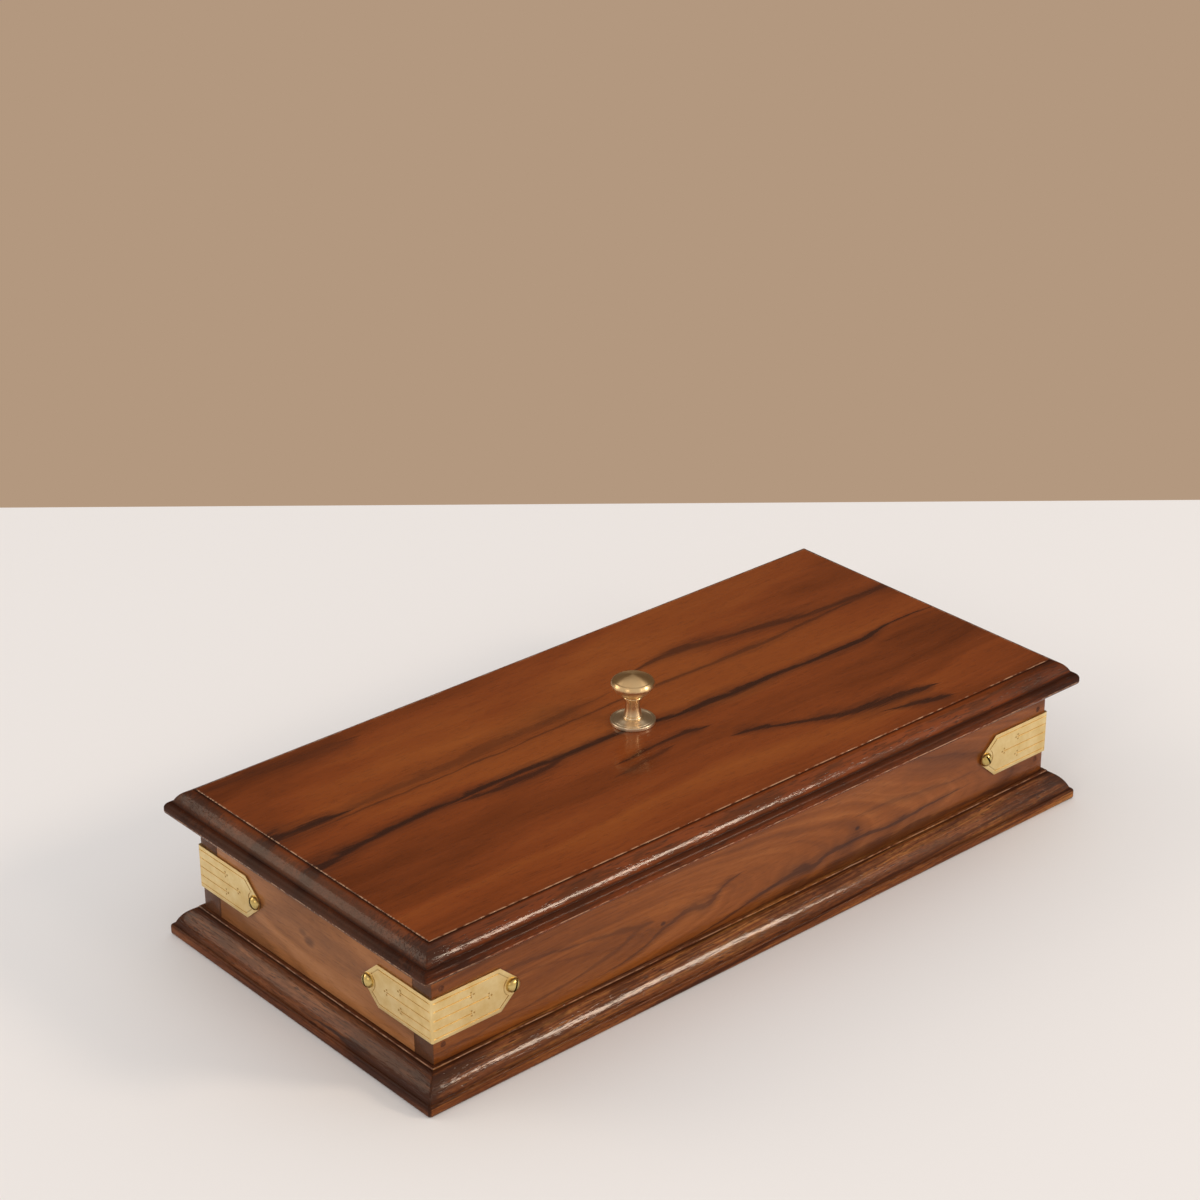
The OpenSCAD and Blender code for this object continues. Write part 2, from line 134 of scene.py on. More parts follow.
def eased_copy(node, ease, shortest, chosen=None):
    """A CAD node's mesh with its triangles merged and its long sharp edges eased."""
    bm = bmesh.new()
    bm.from_mesh(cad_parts[node].data)
    bmesh.ops.remove_doubles(bm, verts=bm.verts, dist=MERGE * MM)
    bmesh.ops.dissolve_limit(bm, angle_limit=radians(0.5), verts=bm.verts, edges=bm.edges)
    sharp = [e for e in bm.edges if len(e.link_faces) == 2 and e.calc_face_angle(0) > CREASE
             and e.calc_length() > shortest * MM and (chosen is None or chosen(e))]
    bmesh.ops.bevel(bm, geom=sharp, offset=ease * MM, segments=3, profile=0.5, affect="EDGES",
                    clamp_overlap=True)
    return smooth_mesh(bm, node)


# Rosewood is a coarse, red-brown wood with nearly black veins. Varnish makes it look deep and warm on long
# grain and dull and dark on end grain, and leaves its open pores as short dark strokes.
WOOD_DARK = "#4b260f"
VEIN = "#321b13"
END_GRAIN = "#4a3224"
LID_SHADE_COLOUR = "#4f352a"
WORN = "#c79a78"
QUIRK_SHADE_COLOUR = "#26120b"
PORE = (4.2, 0.42, 0.42)
FIBRE = (26, 0.9, 0.9)
PEEL = (2.4, 0.9, 0.9)
CLOUD = (55, 11, 11)
SWAY = (95, 26, 26)
WANDER = (16, 5, 5)
CORNER_X = (116, 152)
CORNER_Y = (30, 68)
LID_SHADE_Z = (40, 49)
VEIN_LENGTH = 320
VEIN_REACH = 150
WIDEST_HALF = 10
PIT_DEPTH = 0.06


def drawn_out(tree, spot, grain, detail, roughness=0.5):
    """Noise that is drawn out along the grain. Its size is given along, across and into the wood."""
    shrunk = add(tree, "VectorMath", (spot, grain), "DIVIDE")[0]
    return add(tree, "TexNoise", {"Vector": shrunk, "Scale": 1, "Detail": detail, "Roughness": roughness})


def rosewood(name, order, heart, tones, band, shift, sway, veins=(), knots=(), contrast=1.0, gloss=0.3,
             fine=1.0, coat=0.5, dim_ends=0.0, painted_lid_shade=0.0, moulded=False):
    """Varnished rosewood. order names the axes along, across and into the board. heart is the place of the
    tree's heart from the board and its two slopes to the grain. A vein is its centre line, its half widths and
    its depth. fine is how strongly fibres and pores show on a flat face. dim_ends darkens a board towards its
    ends, and the lid-shade argument paints the shade of the lid's overhang on the top of a wall. Mouldings have
    worn arrises, painted shade in their quirks and on the lid's lip, and pitted corners."""
    material, t = new_material(name)
    place = add(t, "SeparateXYZ", (object_mm(t),))
    spread = [place["XYZ".index(axis)] for axis in order]
    mm = add(t, "CombineXYZ", spread)[0]
    own = add(t, "VectorMath", (mm, (shift * 170, shift * 31, shift * 23)), "ADD")[0]
    swaying = drawn_out(t, own, SWAY, 2.5, 0.55)["Color"]
    grown = add(t, "VectorMath", (swaying, (0, sway, sway), mm), "MULTIPLY_ADD")[0]

    # Growth rings round the heart of the tree
    across, into, slope_across, slope_into = heart
    turned = add(t, "Mapping", {"Vector": grown, "Location": (0, -across, -into),
                                "Rotation": (0, atan2(slope_into, 1), -atan2(slope_across, 1))},
                 {"vector_type": "POINT"})[0]
    flat = add(t, "VectorMath", (turned, (0, 1, 1)), "MULTIPLY")[0]
    radius = add(t, "VectorMath", (flat,), "LENGTH")["Value"]
    bands, lines = [add(t, "TexNoise", {
        "W": radius, "Scale": lot / band, "Detail": detail, "Roughness": roughness},
        {"noise_dimensions": "1D"})["Fac"] for lot, detail, roughness in ((1, 2, 0.5), (4, 3, 0.6))]

    # Fibres, clouds and pores
    fibres = drawn_out(t, grown, FIBRE, 3, 0.6)["Fac"]
    clouds = drawn_out(t, own, CLOUD, 3)["Fac"]
    pricks = drawn_out(t, own, PORE, 1, 0.4)["Fac"]
    pores = add(t, "MapRange", (pricks, 0.56, 0.72), "SMOOTHSTEP")[0]
    peel = drawn_out(t, own, PEEL, 1.5)["Fac"]
    from_middle = add(t, "Math", (spread[0],), "ABSOLUTE")[0]
    tone = add(t, "MapRange", (from_middle, 60, 150, 0.5, 0.5 - dim_ends))[0]
    for part, weight in ((bands, 1.1), (lines, 0.3 + 0.3 * fine), (fibres, 0.75 * fine), (clouds, 0.75),
                         (peel, 0.3 * fine)):
        centred = add(t, "Math", (part, 0.5), "SUBTRACT")[0]
        tone = add(t, "Math", (centred, weight * contrast, tone), "MULTIPLY_ADD")[0]
    dark, mid, light = tones
    colour = add(t, "ValToRGB", (tone,), {"stops": ((0.08, dark), (0.5, mid), (0.92, light))})["Color"]

    # Black veins, each drawn along its own line on the face and through the board's thickness
    wander = drawn_out(t, own, WANDER, 3, 0.6)["Fac"]
    tear = add(t, "Math", (fibres, wander), "ADD")[0]
    along = add(t, "Math", (spread[0], 1 / VEIN_LENGTH, 0.5), "MULTIPLY_ADD")[0]
    stained = 0.0
    for centre, halves, depth in veins:
        line, half = [add(t, "FloatCurve", {"Value": along}, {"points": points})[0] for points in (
            [(x / VEIN_LENGTH + 0.5, y / VEIN_REACH + 0.5) for x, y in centre],
            [(x / VEIN_LENGTH + 0.5, w / WIDEST_HALF) for x, w in halves])]
        off = add(t, "Math", (line, -VEIN_REACH, spread[1]), "MULTIPLY_ADD")[0]
        off = add(t, "Math", (wander, 3.2, off), "MULTIPLY_ADD")[0]
        off = add(t, "Math", (off, VEIN_REACH / 2 - 1.6), "ADD")[0]
        off = add(t, "Math", (off,), "ABSOLUTE")[0]
        half = add(t, "Math", (half, WIDEST_HALF), "MULTIPLY")[0]
        half = add(t, "Math", (half, 0.001), "MAXIMUM")[0]
        ratio = add(t, "Math", (off, half), "DIVIDE")[0]
        for ragged, outer, inner, share in ((1.7, 3.5, 2.0, 1), (2.6, 6.8, 2.8, 0.5)):
            torn = add(t, "Math", (tear, ragged, ratio), "MULTIPLY_ADD")[0]
            mask = add(t, "MapRange", (torn, outer, inner, 0, depth * share), "SMOOTHSTEP")[0]
            stained = add(t, "Math", (stained, mask), "MAXIMUM")[0]
    for x, y, size, depth in knots:
        gone = add(t, "VectorMath", (mm, (x, y, 0)), "SUBTRACT")[0]
        gone = add(t, "VectorMath", (gone, (0.8, 1.2, 0)), "MULTIPLY")[0]
        far = add(t, "VectorMath", (gone,), "LENGTH")["Value"]
        mask = add(t, "MapRange", (far, size, size * 0.3, 0, depth), "SMOOTHSTEP")[0]
        stained = add(t, "Math", (stained, mask), "MAXIMUM")[0]
    stains_and_shades = [(stained, VEIN)] if veins or knots else []

    # Pores, end grain, worn arrises, and painted shade in the quirks, on the lid's lip and under the lid's
    # overhang
    facing = add(t, "SeparateXYZ", (add(t, "TexCoord")["Normal"],))
    flat_on, ends = [add(t, "Math", (facing["XYZ".index(axis)],), "ABSOLUTE")[0]
                     for axis in (order[2], order[0])]
    open_here = add(t, "MapRange", (flat_on, 0.99, 0.9, 0.55 * fine, 0.75))[0]
    rounded = add(t, "MapRange", (flat_on, 0.99, 0.9, 0, 0.7))[0]
    mottled = add(t, "MapRange", (tear, 0.88, 1.12), "SMOOTHSTEP")[0]
    ends = add(t, "MapRange", (ends, 0.15, 0.9, 0, 0.7))[0]
    stains_and_shades += [(add(t, "Math", (pores, open_here), "MULTIPLY")[0], VEIN),
               (add(t, "Math", (mottled, rounded), "MULTIPLY")[0], WOOD_DARK), (ends, END_GRAIN)]
    # Painted shade: the top of a wall is darkened where the lid's overhang shades it.
    if painted_lid_shade:
        lid_shade_mask = add(t, "MapRange", (place[2], *LID_SHADE_Z, 0, painted_lid_shade), "SMOOTHSTEP")[0]
        stains_and_shades.append((lid_shade_mask, LID_SHADE_COLOUR))
    pit = PIT_DEPTH * MM
    if moulded:
        corner = add(t, "MapRange", (flat_on, 0.999, 0.98))[0]
        for axis, limits in enumerate((CORNER_X, CORNER_Y)):
            out = add(t, "Math", (place[axis],), "ABSOLUTE")[0]
            out = add(t, "MapRange", (out, *limits), "SMOOTHSTEP")[0]
            corner = add(t, "Math", (out, corner), "MULTIPLY")[0]
        pit = add(t, "Math", (corner, 2 * pit, pit), "MULTIPLY_ADD")[0]
        handled = add(t, "MapRange", (tear, 0.8, 1.15, 0.25, 0.8), "SMOOTHSTEP")[0]
        worn, quirk_shading = [add(t, "Attribute", settings={"attribute_name": mark})["Fac"]
                          for mark in ("wear", "quirk")]
        scuffed = add(t, "Math", (peel, 0.9, wander), "MULTIPLY_ADD")[0]
        scuffed = add(t, "MapRange", (scuffed, 0.82, 1.12, 0, 0.8), "SMOOTHSTEP")[0]
        # Painted shade: the quirk mark darkens the quirks and the lid's lip, and thins the coat there.
        coat = add(t, "MapRange", (quirk_shading, 0, 0.3, coat, 0.05))[0]
        stains_and_shades += [(add(t, "Math", (handled, corner), "MULTIPLY")[0], VEIN),
                   (add(t, "Math", (worn, scuffed), "MULTIPLY")[0], WORN),
                   (add(t, "MapRange", (quirk_shading, 0.25, 1, 0, 0.85))[0], QUIRK_SHADE_COLOUR)]
    for mask, stain_and_shade in stains_and_shades:
        colour = add(t, "Mix", {0: mask, 6: colour, 7: stain_and_shade}, "RGBA")[2]

    rough = add(t, "Math", (clouds, 0.16, gloss - 0.08), "MULTIPLY_ADD")[0]
    rough = add(t, "Math", (ends, 0.25, rough), "MULTIPLY_ADD")[0]
    height = add(t, "Math", (fibres, 0.5), "MULTIPLY")[0]
    height = add(t, "Math", (pores, -0.6, height), "MULTIPLY_ADD")[0]
    height = add(t, "Math", (peel, 0.45, height), "MULTIPLY_ADD")[0]
    grain = add(t, "Bump", {"Strength": 0.5, "Distance": pit, "Height": height})[0]
    ripple = add(t, "Bump", {"Strength": 0.5, "Distance": 0.15 * MM, "Height": wander, "Normal": grain})[0]
    return surfaced(material, {
        "Base Color": colour, "Roughness": rough, "Normal": ripple, "Specular IOR Level": 0.05,
        "Coat Weight": coat, "Coat Roughness": 0.06, "Coat IOR": 1.4, "Coat Normal": ripple})


# The front board is cut close to the heart, so its rings come out as long pointed loops and wavy lines.
front_veins = (
    (((-150, 35.5), (-112, 34.8), (-90, 32.6), (-70, 29.6), (-56, 27.3), (150, 27)),
     ((-150, 0.2), (-112, 0.6), (-80, 0.7), (-62, 1.2), (-55, 0.9), (-51, 0), (150, 0)), 0.5),
    (((-150, 15), (-107.5, 17.3), (-85, 19.4), (-70, 22.4), (-56, 27.0), (150, 27)),
     ((-150, 0.2), (-107, 0.5), (-80, 0.8), (-64, 1.2), (-56, 0.8), (-52, 0), (150, 0)), 0.5),
    (((-150, 31.6), (-112, 31), (-95, 28.6), (-79, 25.8), (150, 25)),
     ((-150, 0), (-112, 0.4), (-90, 0.5), (-80, 0.5), (-75, 0), (150, 0)), 0.35),
    (((-150, 20.4), (-105, 21), (-90, 23), (-79, 25.4), (150, 25)),
     ((-150, 0), (-105, 0.4), (-88, 0.5), (-80, 0.4), (-75, 0), (150, 0)), 0.3),
    (((-150, 13), (-75, 15.4), (-60, 17.3), (-47, 22.3), (-35, 25), (-28, 23.4), (-18, 28.4), (-8, 30),
      (150, 30)),
     ((-150, 0), (-82, 0), (-62, 0.5), (-40, 1.1), (-28, 1.3), (-18, 0.7), (-8, 0), (150, 0)), 0.6),
    (((-150, 31), (50, 31), (62, 30.3), (83, 27.8), (107, 26), (150, 25)),
     ((-150, 0), (46, 0), (60, 0.9), (85, 0.8), (105, 0.4), (112, 0), (150, 0)), 0.4),
    (((-150, 12.5), (-20, 13.5), (0, 17), (19, 19), (25, 17.8), (33, 20.3), (47, 21), (71, 19.6), (92, 20.8),
      (150, 22)),
     ((-150, 0), (-25, 0.3), (5, 0.9), (20, 2.1), (27, 1.0), (40, 0.9), (60, 0.6), (92, 0.5), (110, 0),
      (150, 0)), 0.75),
    (((-150, 9), (-60, 10), (0, 12), (30, 13.5), (75, 14), (150, 12)),
     ((-150, 0), (-50, 0.6), (0, 1.3), (30, 2.2), (80, 2.0), (110, 0.6), (150, 1.0)), 0.7),
    (((-150, 24), (0, 22), (150, 22)), ((-150, 9), (-100, 8), (-62, 4), (-35, 0), (150, 0)), 0.22),
)
front_wood = rosewood(
    "front board rosewood", "XZY", (27, -47.4, 0.0, 0.16), ("#4e2810", "#84481c", "#a66530"), band=6,
    shift=1.3, sway=9, veins=front_veins, knots=((-48, 24.2, 1.5, 0.75), (48, 25.3, 1.4, 0.8)),
    contrast=0.75, fine=0.35, dim_ends=0.1, painted_lid_shade=0.42)
back_wood = rosewood("back board rosewood", "XZY", (12, 40, 0.03, 0.1), ("#4e2810", "#7e441c", "#9c5c2c"),
                     band=8, shift=4.1, sway=9, contrast=0.9, painted_lid_shade=0.42)
left_veins = ((((-160, 8), (10, 9), (30, 13), (50, 18), (66, 22), (160, 24)),
               ((-160, 0), (8, 0), (28, 4), (45, 6), (66, 8), (160, 8)), 0.34),)
left_wood = rosewood(
    "left end rosewood", "YZX", (70, 15, -0.1, 0.08), ("#5f371c", "#966138", "#b1794d"), band=9, shift=6.2,
    sway=14, veins=left_veins, knots=((2, 27.4, 3.2, 0.5), (5.5, 29.5, 2.4, 0.35)), contrast=0.8, fine=0.4,
    painted_lid_shade=0.6)
right_wood = rosewood(
    "right end rosewood", "YZX", (-30, 25, 0.1, -0.08), ("#553018", "#7d4a28", "#965f38"), band=8, shift=7.7,
    sway=10, contrast=0.8, painted_lid_shade=0.5)
for node, wood in (("front_wall", front_wood), ("back_wall", back_wood), ("left_wall", left_wood),
                   ("right_wall", right_wood)):
    piece(node + "_board", eased_copy(node, WALL_EASE, LONG_EDGE), [wood], "case", [node])


# Bottom board
# Thin plywood let into a rebate round the inner foot of the walls. Its faces are pale veneer under one thin
# coat of varnish, with a soft straight figure.
def plywood():
    """Pale veneer with a soft straight figure, which shows fine dark pores under its one coat."""
    material, t = new_material("varnished plywood")
    figure = drawn_out(t, object_mm(t), (60, 2.2, 2.2), 5, 0.6)["Fac"]
    pores = drawn_out(t, object_mm(t), (5, 0.4, 0.4), 1)["Fac"]
    colour = add(t, "ValToRGB", (figure,), {
        "stops": ((0.3, "#8d5f38"), (0.52, "#ab7c4d"), (0.72, "#c19565"))})["Color"]
    speck = add(t, "MapRange", (pores, 0.6, 0.75, 0, 0.4))[0]
    colour = add(t, "Mix", {0: speck, 6: colour, 7: "#5f3c22"}, "RGBA")[2]
    bump = add(t, "Bump", {"Strength": 0.3, "Distance": 0.05 * MM, "Height": pores})[0]
    return surfaced(material, {"Base Color": colour, "Roughness": 0.55, "Normal": bump,
                               "Specular IOR Level": 0.35})


piece("bottom_board_ply", eased_copy("bottom_board", 0.15, LONG_EDGE), [plywood()], "case",
      ["bottom_board"])


# Plinth mouldings
# Four strips with a worked edge, glued round the foot of the case and mitred at the corners. The grain runs
# along each strip. The corners are rounded a little by sanding after the glue has set.
PLINTH_H = 12
PLINTH_OUT = 9.6
PLINTH_FLAT = 1.8
PLINTH_STEP = 0.6
PLINTH_ROUND_R = 12
PLINTH_LIP_H = 4.2
PLINTH_LIP_OUT = 1.1
PLINTH_NOSE_R = 0.8
SANDED_CORNER = 0.1
MITRE_GAP = 0.03
STATION = 4
CORNER_STEPS = 4
FADE = 8


def arc_points(p, q, r, steps):
    """Points on an arc of radius r from p to q. Its centre is on the left of the way."""
    v = (q[0] - p[0], q[1] - p[1])
    size = hypot(*v)
    rise = sqrt(r * r - size * size / 4) / size
    c = ((p[0] + q[0]) / 2 - v[1] * rise, (p[1] + q[1]) / 2 + v[0] * rise)
    a = atan2(p[1] - c[1], p[0] - c[0])
    turn = (atan2(q[1] - c[1], q[0] - c[0]) - a + pi) % (2 * pi) - pi
    turns = [a + turn * i / steps for i in range(steps + 1)]
    return [(c[0] + r * cos(t), c[1] + r * sin(t)) for t in turns]


def moulded_edge(out, lip_h, lip_out, round_end, round_r, top, nose_r, nose_worn, step_worn, shade_weight):
    """Points of a moulded edge as (out from the wall, height, wear, quirk shade), from the underside to the
    top.
    The quirk shade is painted shade in the quirks and on the lip.
    """
    nose = [(o, z, 0, 0) for o, z in arc_points((out - nose_r, 0), (out, nose_r), nose_r, 5)]
    nose[-1] = (out, nose_r, nose_worn, 0)
    # Painted shade rises up the lip and gathers at both ends of the round and at the step.
    lip = [(o, z, 0, 0.05 + 0.5 * shade_weight + shade_weight * 0.055 * i)
           for i, (o, z) in enumerate(arc_points((out, lip_h - lip_out), (out - lip_out, lip_h), lip_out, 8))]
    bow = arc_points((out - lip_out - 0.05, lip_h + 0.05), round_end, round_r, 22)
    quirk_shading = {0: shade_weight, 1: 0.7 * shade_weight, 2: 0.3 * shade_weight, 20: 0.3, 21: 0.7, 22: 1}
    arched = [(o, z, 0, quirk_shading.get(i, 0)) for i, (o, z) in enumerate(bow)]
    lip[-1] = (*lip[-1][:3], shade_weight)
    step = [(round_end[0], top - 0.3, 0, 0.8), (round_end[0], top - 0.15, step_worn, 0),
            (round_end[0] - 0.15, top, step_worn, 0), (round_end[0] - 0.5, top, 0, 0)]
    return nose + [(out, nose_r + 0.3, 0, 0.45 * shade_weight)] + lip + arched + step


def side_points(half_along, half_across, out, stations, gap=0.0):
    """One side of a moulding from mitre to mitre, its middle on -Y, with its outer corners sanded round."""
    a, b = half_along + out, half_across + out
    r = max(SANDED_CORNER * out, 0)
    turns = [radians(45 * i / CORNER_STEPS) for i in range(CORNER_STEPS + 1)]
    left = [(-a + r - r * cos(pi / 4 + k) + gap, -b + r - r * sin(pi / 4 + k)) for k in turns]
    straight = [(-a + r + (2 * (a - r)) * i / stations, -b) for i in range(1, stations)]
    return left + straight + [(-x, y) for x, y in reversed(left)]


def wavy(x, turn, out, z):
    """Hand sanding takes a few hundredths of a millimetre more off a round in some places than in others."""
    slow = noise.noise(Vector((x / 17, 9 * turn + out / 9, z / 5)))
    quick = noise.noise(Vector((x / 5, 9 * turn + out / 4, z / 3)))
    return 0.07 * (1 + slow) / 2 + 0.03 * (1 + quick) / 2


def build_sides(profile, sides, closed, level=0.0):
    """Sweeps a profile along one or more sides. Each side is (half along, half across, turn)."""
    bm = bmesh.new()
    wear = bm.verts.layers.float.new("wear")
    # The quirk layer carries painted shade.
    quirk = bm.verts.layers.float.new("quirk")
    for half_along, half_across, turn in sides:
        stations = round(2 * half_along / STATION)
        spin = Matrix.Rotation(turn, 3, "Z")
        rows = []
        for out, z, worn, shade_weight in profile:
            row = []
            for x, y in side_points(half_along, half_across, out, stations, MITRE_GAP if closed else 0.0):
                fade = min(1, max(0, (half_along - abs(x)) / FADE)) if 0.5 < out and 0.6 < z else 0
                spot = spin @ Vector((x, y, 0))
                vert = bm.verts.new((spot.x * MM, spot.y * MM,
                                     (level + z - fade * wavy(x, turn, out, z)) * MM))
                vert[wear] = worn
                vert[quirk] = shade_weight
                row.append(vert)
            rows.append(row)
        for low, high in zip(rows, rows[1:]):
            for i in range(len(low) - 1):
                bm.faces.new((low[i], low[i + 1], high[i + 1], high[i]))
        if closed:
            for i in range(len(rows[0]) - 1):
                bm.faces.new((rows[-1][i], rows[-1][i + 1], rows[0][i + 1], rows[0][i]))
            for end in (0, -1):
                bm.faces.new([row[end] for row in rows])
    bmesh.ops.remove_doubles(bm, verts=bm.verts, dist=MERGE * MM)
    return bm


# The plinth's last point paints shade where the strip meets the wall.
plinth_profile = ([(0, 0, 0, 0)]
                  + moulded_edge(PLINTH_OUT, PLINTH_LIP_H, PLINTH_LIP_OUT,
                                 (PLINTH_FLAT, PLINTH_H - PLINTH_STEP), PLINTH_ROUND_R, PLINTH_H,
                                 PLINTH_NOSE_R, 0, 0.6, 0.5)
                  + [(0, PLINTH_H, 0, 0.6)])
left_plinth_veins = ((((-160, 3), (-60, 4), (-35, 5.2), (0, 5.5), (160, 6)),
                      ((-160, 0.6), (-66, 1.4), (-48, 2.6), (-34, 2.2), (-24, 0.5), (160, 0.2)), 0.95),)
plinth_tones = ("#43200d", "#744020", "#a36a34")
strips = (
    ("front", WALL_FACE_X, WALL_FACE_Y, 0, "XZY", (40, -10, 0.02, 0.02), 2.2, (), plinth_tones),
    ("right", WALL_FACE_Y, WALL_FACE_X, pi / 2, "YZX", (30, 20, 0.02, 0.03), 5.9, (), plinth_tones),
    ("back", WALL_FACE_X, WALL_FACE_Y, pi, "XZY", (35, -12, 0.03, 0.02), 8.3, (), plinth_tones),
    ("left", WALL_FACE_Y, WALL_FACE_X, -pi / 2, "YZX", (28, 18, 0.02, -0.02), 9.4, left_plinth_veins,
     ("#43200d", "#6c3c21", "#86522f")),
)
for side, half_along, half_across, turn, order, heart, shift, veins, tones in strips:
    bm = build_sides(plinth_profile, [(half_along, half_across, turn)], True)
    bmesh.ops.recalc_face_normals(bm, faces=bm.faces)
    wood = rosewood(side + " plinth rosewood", order, heart, tones, band=3.2, shift=shift, sway=4,
                    veins=veins, contrast=1.25, coat=0.4 if side == "left" else 0.5, moulded=True)
    piece(side + "_plinth_strip", smooth_mesh(bm, side + "_plinth"), [wood], "case",
          [side + "_plinth_moulding"])


# Corner straps
# Sheet brass, cut to a clipped point, engraved with a border and three lines, bent round the corner and
# screwed on. The face is satin from fine paper and faintly scratched. Old polish has darkened the engraving
# and the edges.
STRAP_T = 0.8
STRAP_EASE = 0.12
STRAP_Z = 29.2
STRAP_H = 17
GRIME_BELOW = (0.62, 0.72)


def brass(name, colour, shade, rough, scratch, grime=None):
    """Brass with fine scratches of a given size, and grime in what is cut below a strap's face."""
    material, t = new_material(name)
    mm = object_mm(t)
    scratches = drawn_out(t, mm, scratch, 3, 0.65)["Fac"]
    patches = add(t, "TexNoise", {"Vector": mm, "Scale": 0.16, "Detail": 3, "Roughness": 0.6})["Fac"]
    tarnish = add(t, "MapRange", (patches, 0.35, 0.75))[0]
    tint = add(t, "Mix", {0: tarnish, 6: colour, 7: shade}, "RGBA")[2]
    if grime:
        spot = add(t, "SeparateXYZ", (mm,))
        far = [add(t, "Math", (spot[axis],), "ABSOLUTE")[0] for axis in (0, 1)]
        far = [add(t, "Math", (out, face), "SUBTRACT")[0]
               for out, face in zip(far, (WALL_FACE_X, WALL_FACE_Y))]
        proud = add(t, "Math", far, "MAXIMUM")[0]
        low = add(t, "MapRange", (proud, *reversed(GRIME_BELOW), 0, 0.4))[0]
        off_bend = add(t, "Math", far, "MINIMUM")[0]
        off_bend = add(t, "MapRange", (off_bend, -0.7, -1.0))[0]
        low = add(t, "Math", (low, off_bend), "MULTIPLY")[0]
        tint = add(t, "Mix", {0: low, 6: tint, 7: grime}, "RGBA")[2]
    roughness = add(t, "Math", (patches, 0.14, rough - 0.07), "MULTIPLY_ADD")[0]
    bump = add(t, "Bump", {"Strength": 0.25, "Distance": 0.012 * MM, "Height": scratches})[0]
    return surfaced(material, {"Base Color": tint, "Metallic": 1.0, "Roughness": roughness, "Normal": bump})


def outline_edge(edge):
    """True for an edge of the strap's outer face that isn't part of its engraving."""
    def proud(co):
        return max(abs(co.x) / MM - WALL_FACE_X, abs(co.y) / MM - WALL_FACE_Y)
    faces = [f.normal for f in edge.link_faces]
    edge_on = any(abs(n.z) > 0.5 for n in faces) or any(0.1 < abs(n.z) < 0.9 for n in faces)
    heights = [abs(v.co.z / MM - STRAP_Z) for v in edge.verts]
    outside = all(proud(v.co) > STRAP_T - 0.02 for v in edge.verts)
    return outside and edge_on and max(heights) > STRAP_H / 2 - 1.2


strap_metal = brass("satin sheet brass", "#f3dca4", "#e3c583", 0.42, (4, 4, 1 / 9), "#94703a")
for corner in ("front_left", "front_right", "back_left", "back_right"):
    piece(corner + "_brass", eased_copy(corner + "_strap", STRAP_EASE, 1.0, outline_edge), [strap_metal],
          "case", [corner + "_strap"])


# Strap screws
# Slotted round-head wood screws in yellow brass, one in the tip of each leg. They are bright on the dome, and
# their slots are full of old polish.
SCREW_X = 33.6
SLOT_W = 0.8
SLOT_D = 0.9
STRAP_SLOTS = ((-1, -1, 70, 20), (1, -1, 115, 60), (-1, 1, 150, 35), (1, 1, 80, 130))


def part_tree(name, sizes, materials):
    """A node tree with named sizes and materials as its inputs."""
    tree = bpy.data.node_groups.new(name, "GeometryNodeTree")
    tree.interface.new_socket(name="Geometry", in_out="OUTPUT", socket_type="NodeSocketGeometry")
    sockets = [(size, "Float") for size in sizes] + [(material, "Material") for material in materials]
    for label, kind in [("Geometry", "Geometry")] + sockets:
        tree.interface.new_socket(name=label, in_out="INPUT", socket_type="NodeSocket" + kind)
    return tree, add(tree, "NodeGroupInput")


def along_axis(tree, shape, z):
    """A shape moved along the axis of its screw or pin."""
    return add(tree, "GeometryNodeTransform", {
        "Geometry": shape, "Translation": add(tree, "CombineXYZ", {2: z})[0]})[0]


def seats_mesh(name, seats):
    """A mesh of points, each with the way that it faces and its turn."""
    mesh = bpy.data.meshes.new(name)
    mesh.from_pydata([[c * MM for c in spot] for spot, _, _ in seats], [], [])
    way = mesh.attributes.new("way", "FLOAT_VECTOR", "POINT")
    way.data.foreach_set("vector", [c for _, axis, _ in seats for c in axis])
    turn = mesh.attributes.new("turn", "FLOAT", "POINT")
    turn.data.foreach_set("value", [radians(angle) for _, _, angle in seats])
    return mesh


def grow(name, tree, seats, values):
    """Runs a tree on its seats and gives the result as a plain mesh."""
    host = bpy.data.objects.new(name + "_seats", seats_mesh(name, seats))
    bpy.context.scene.collection.objects.link(host)
    modifier = host.modifiers.new(name, "NODES")
    modifier.node_group = tree
    for socket in tree.interface.items_tree:
        if socket.in_out == "INPUT" and socket.name in values:
            modifier[socket.identifier] = values[socket.name]
    bpy.context.view_layer.update()
    evaluated = host.evaluated_get(bpy.context.evaluated_depsgraph_get())
    mesh = bpy.data.meshes.new_from_object(evaluated)
    host.modifiers.remove(modifier)
    bpy.data.objects.remove(host)
    places = [face.material_index for face in mesh.polygons]
    used = sorted(set(places))
    kept = [mesh.materials[i] for i in used]
    mesh.materials.clear()
    for material in kept:
        mesh.materials.append(material)
    mesh.polygons.foreach_set("material_index", [used.index(i) for i in places])
    mesh.shade_smooth()
    mesh.set_sharp_from_angle(angle=CREASE)
    return mesh


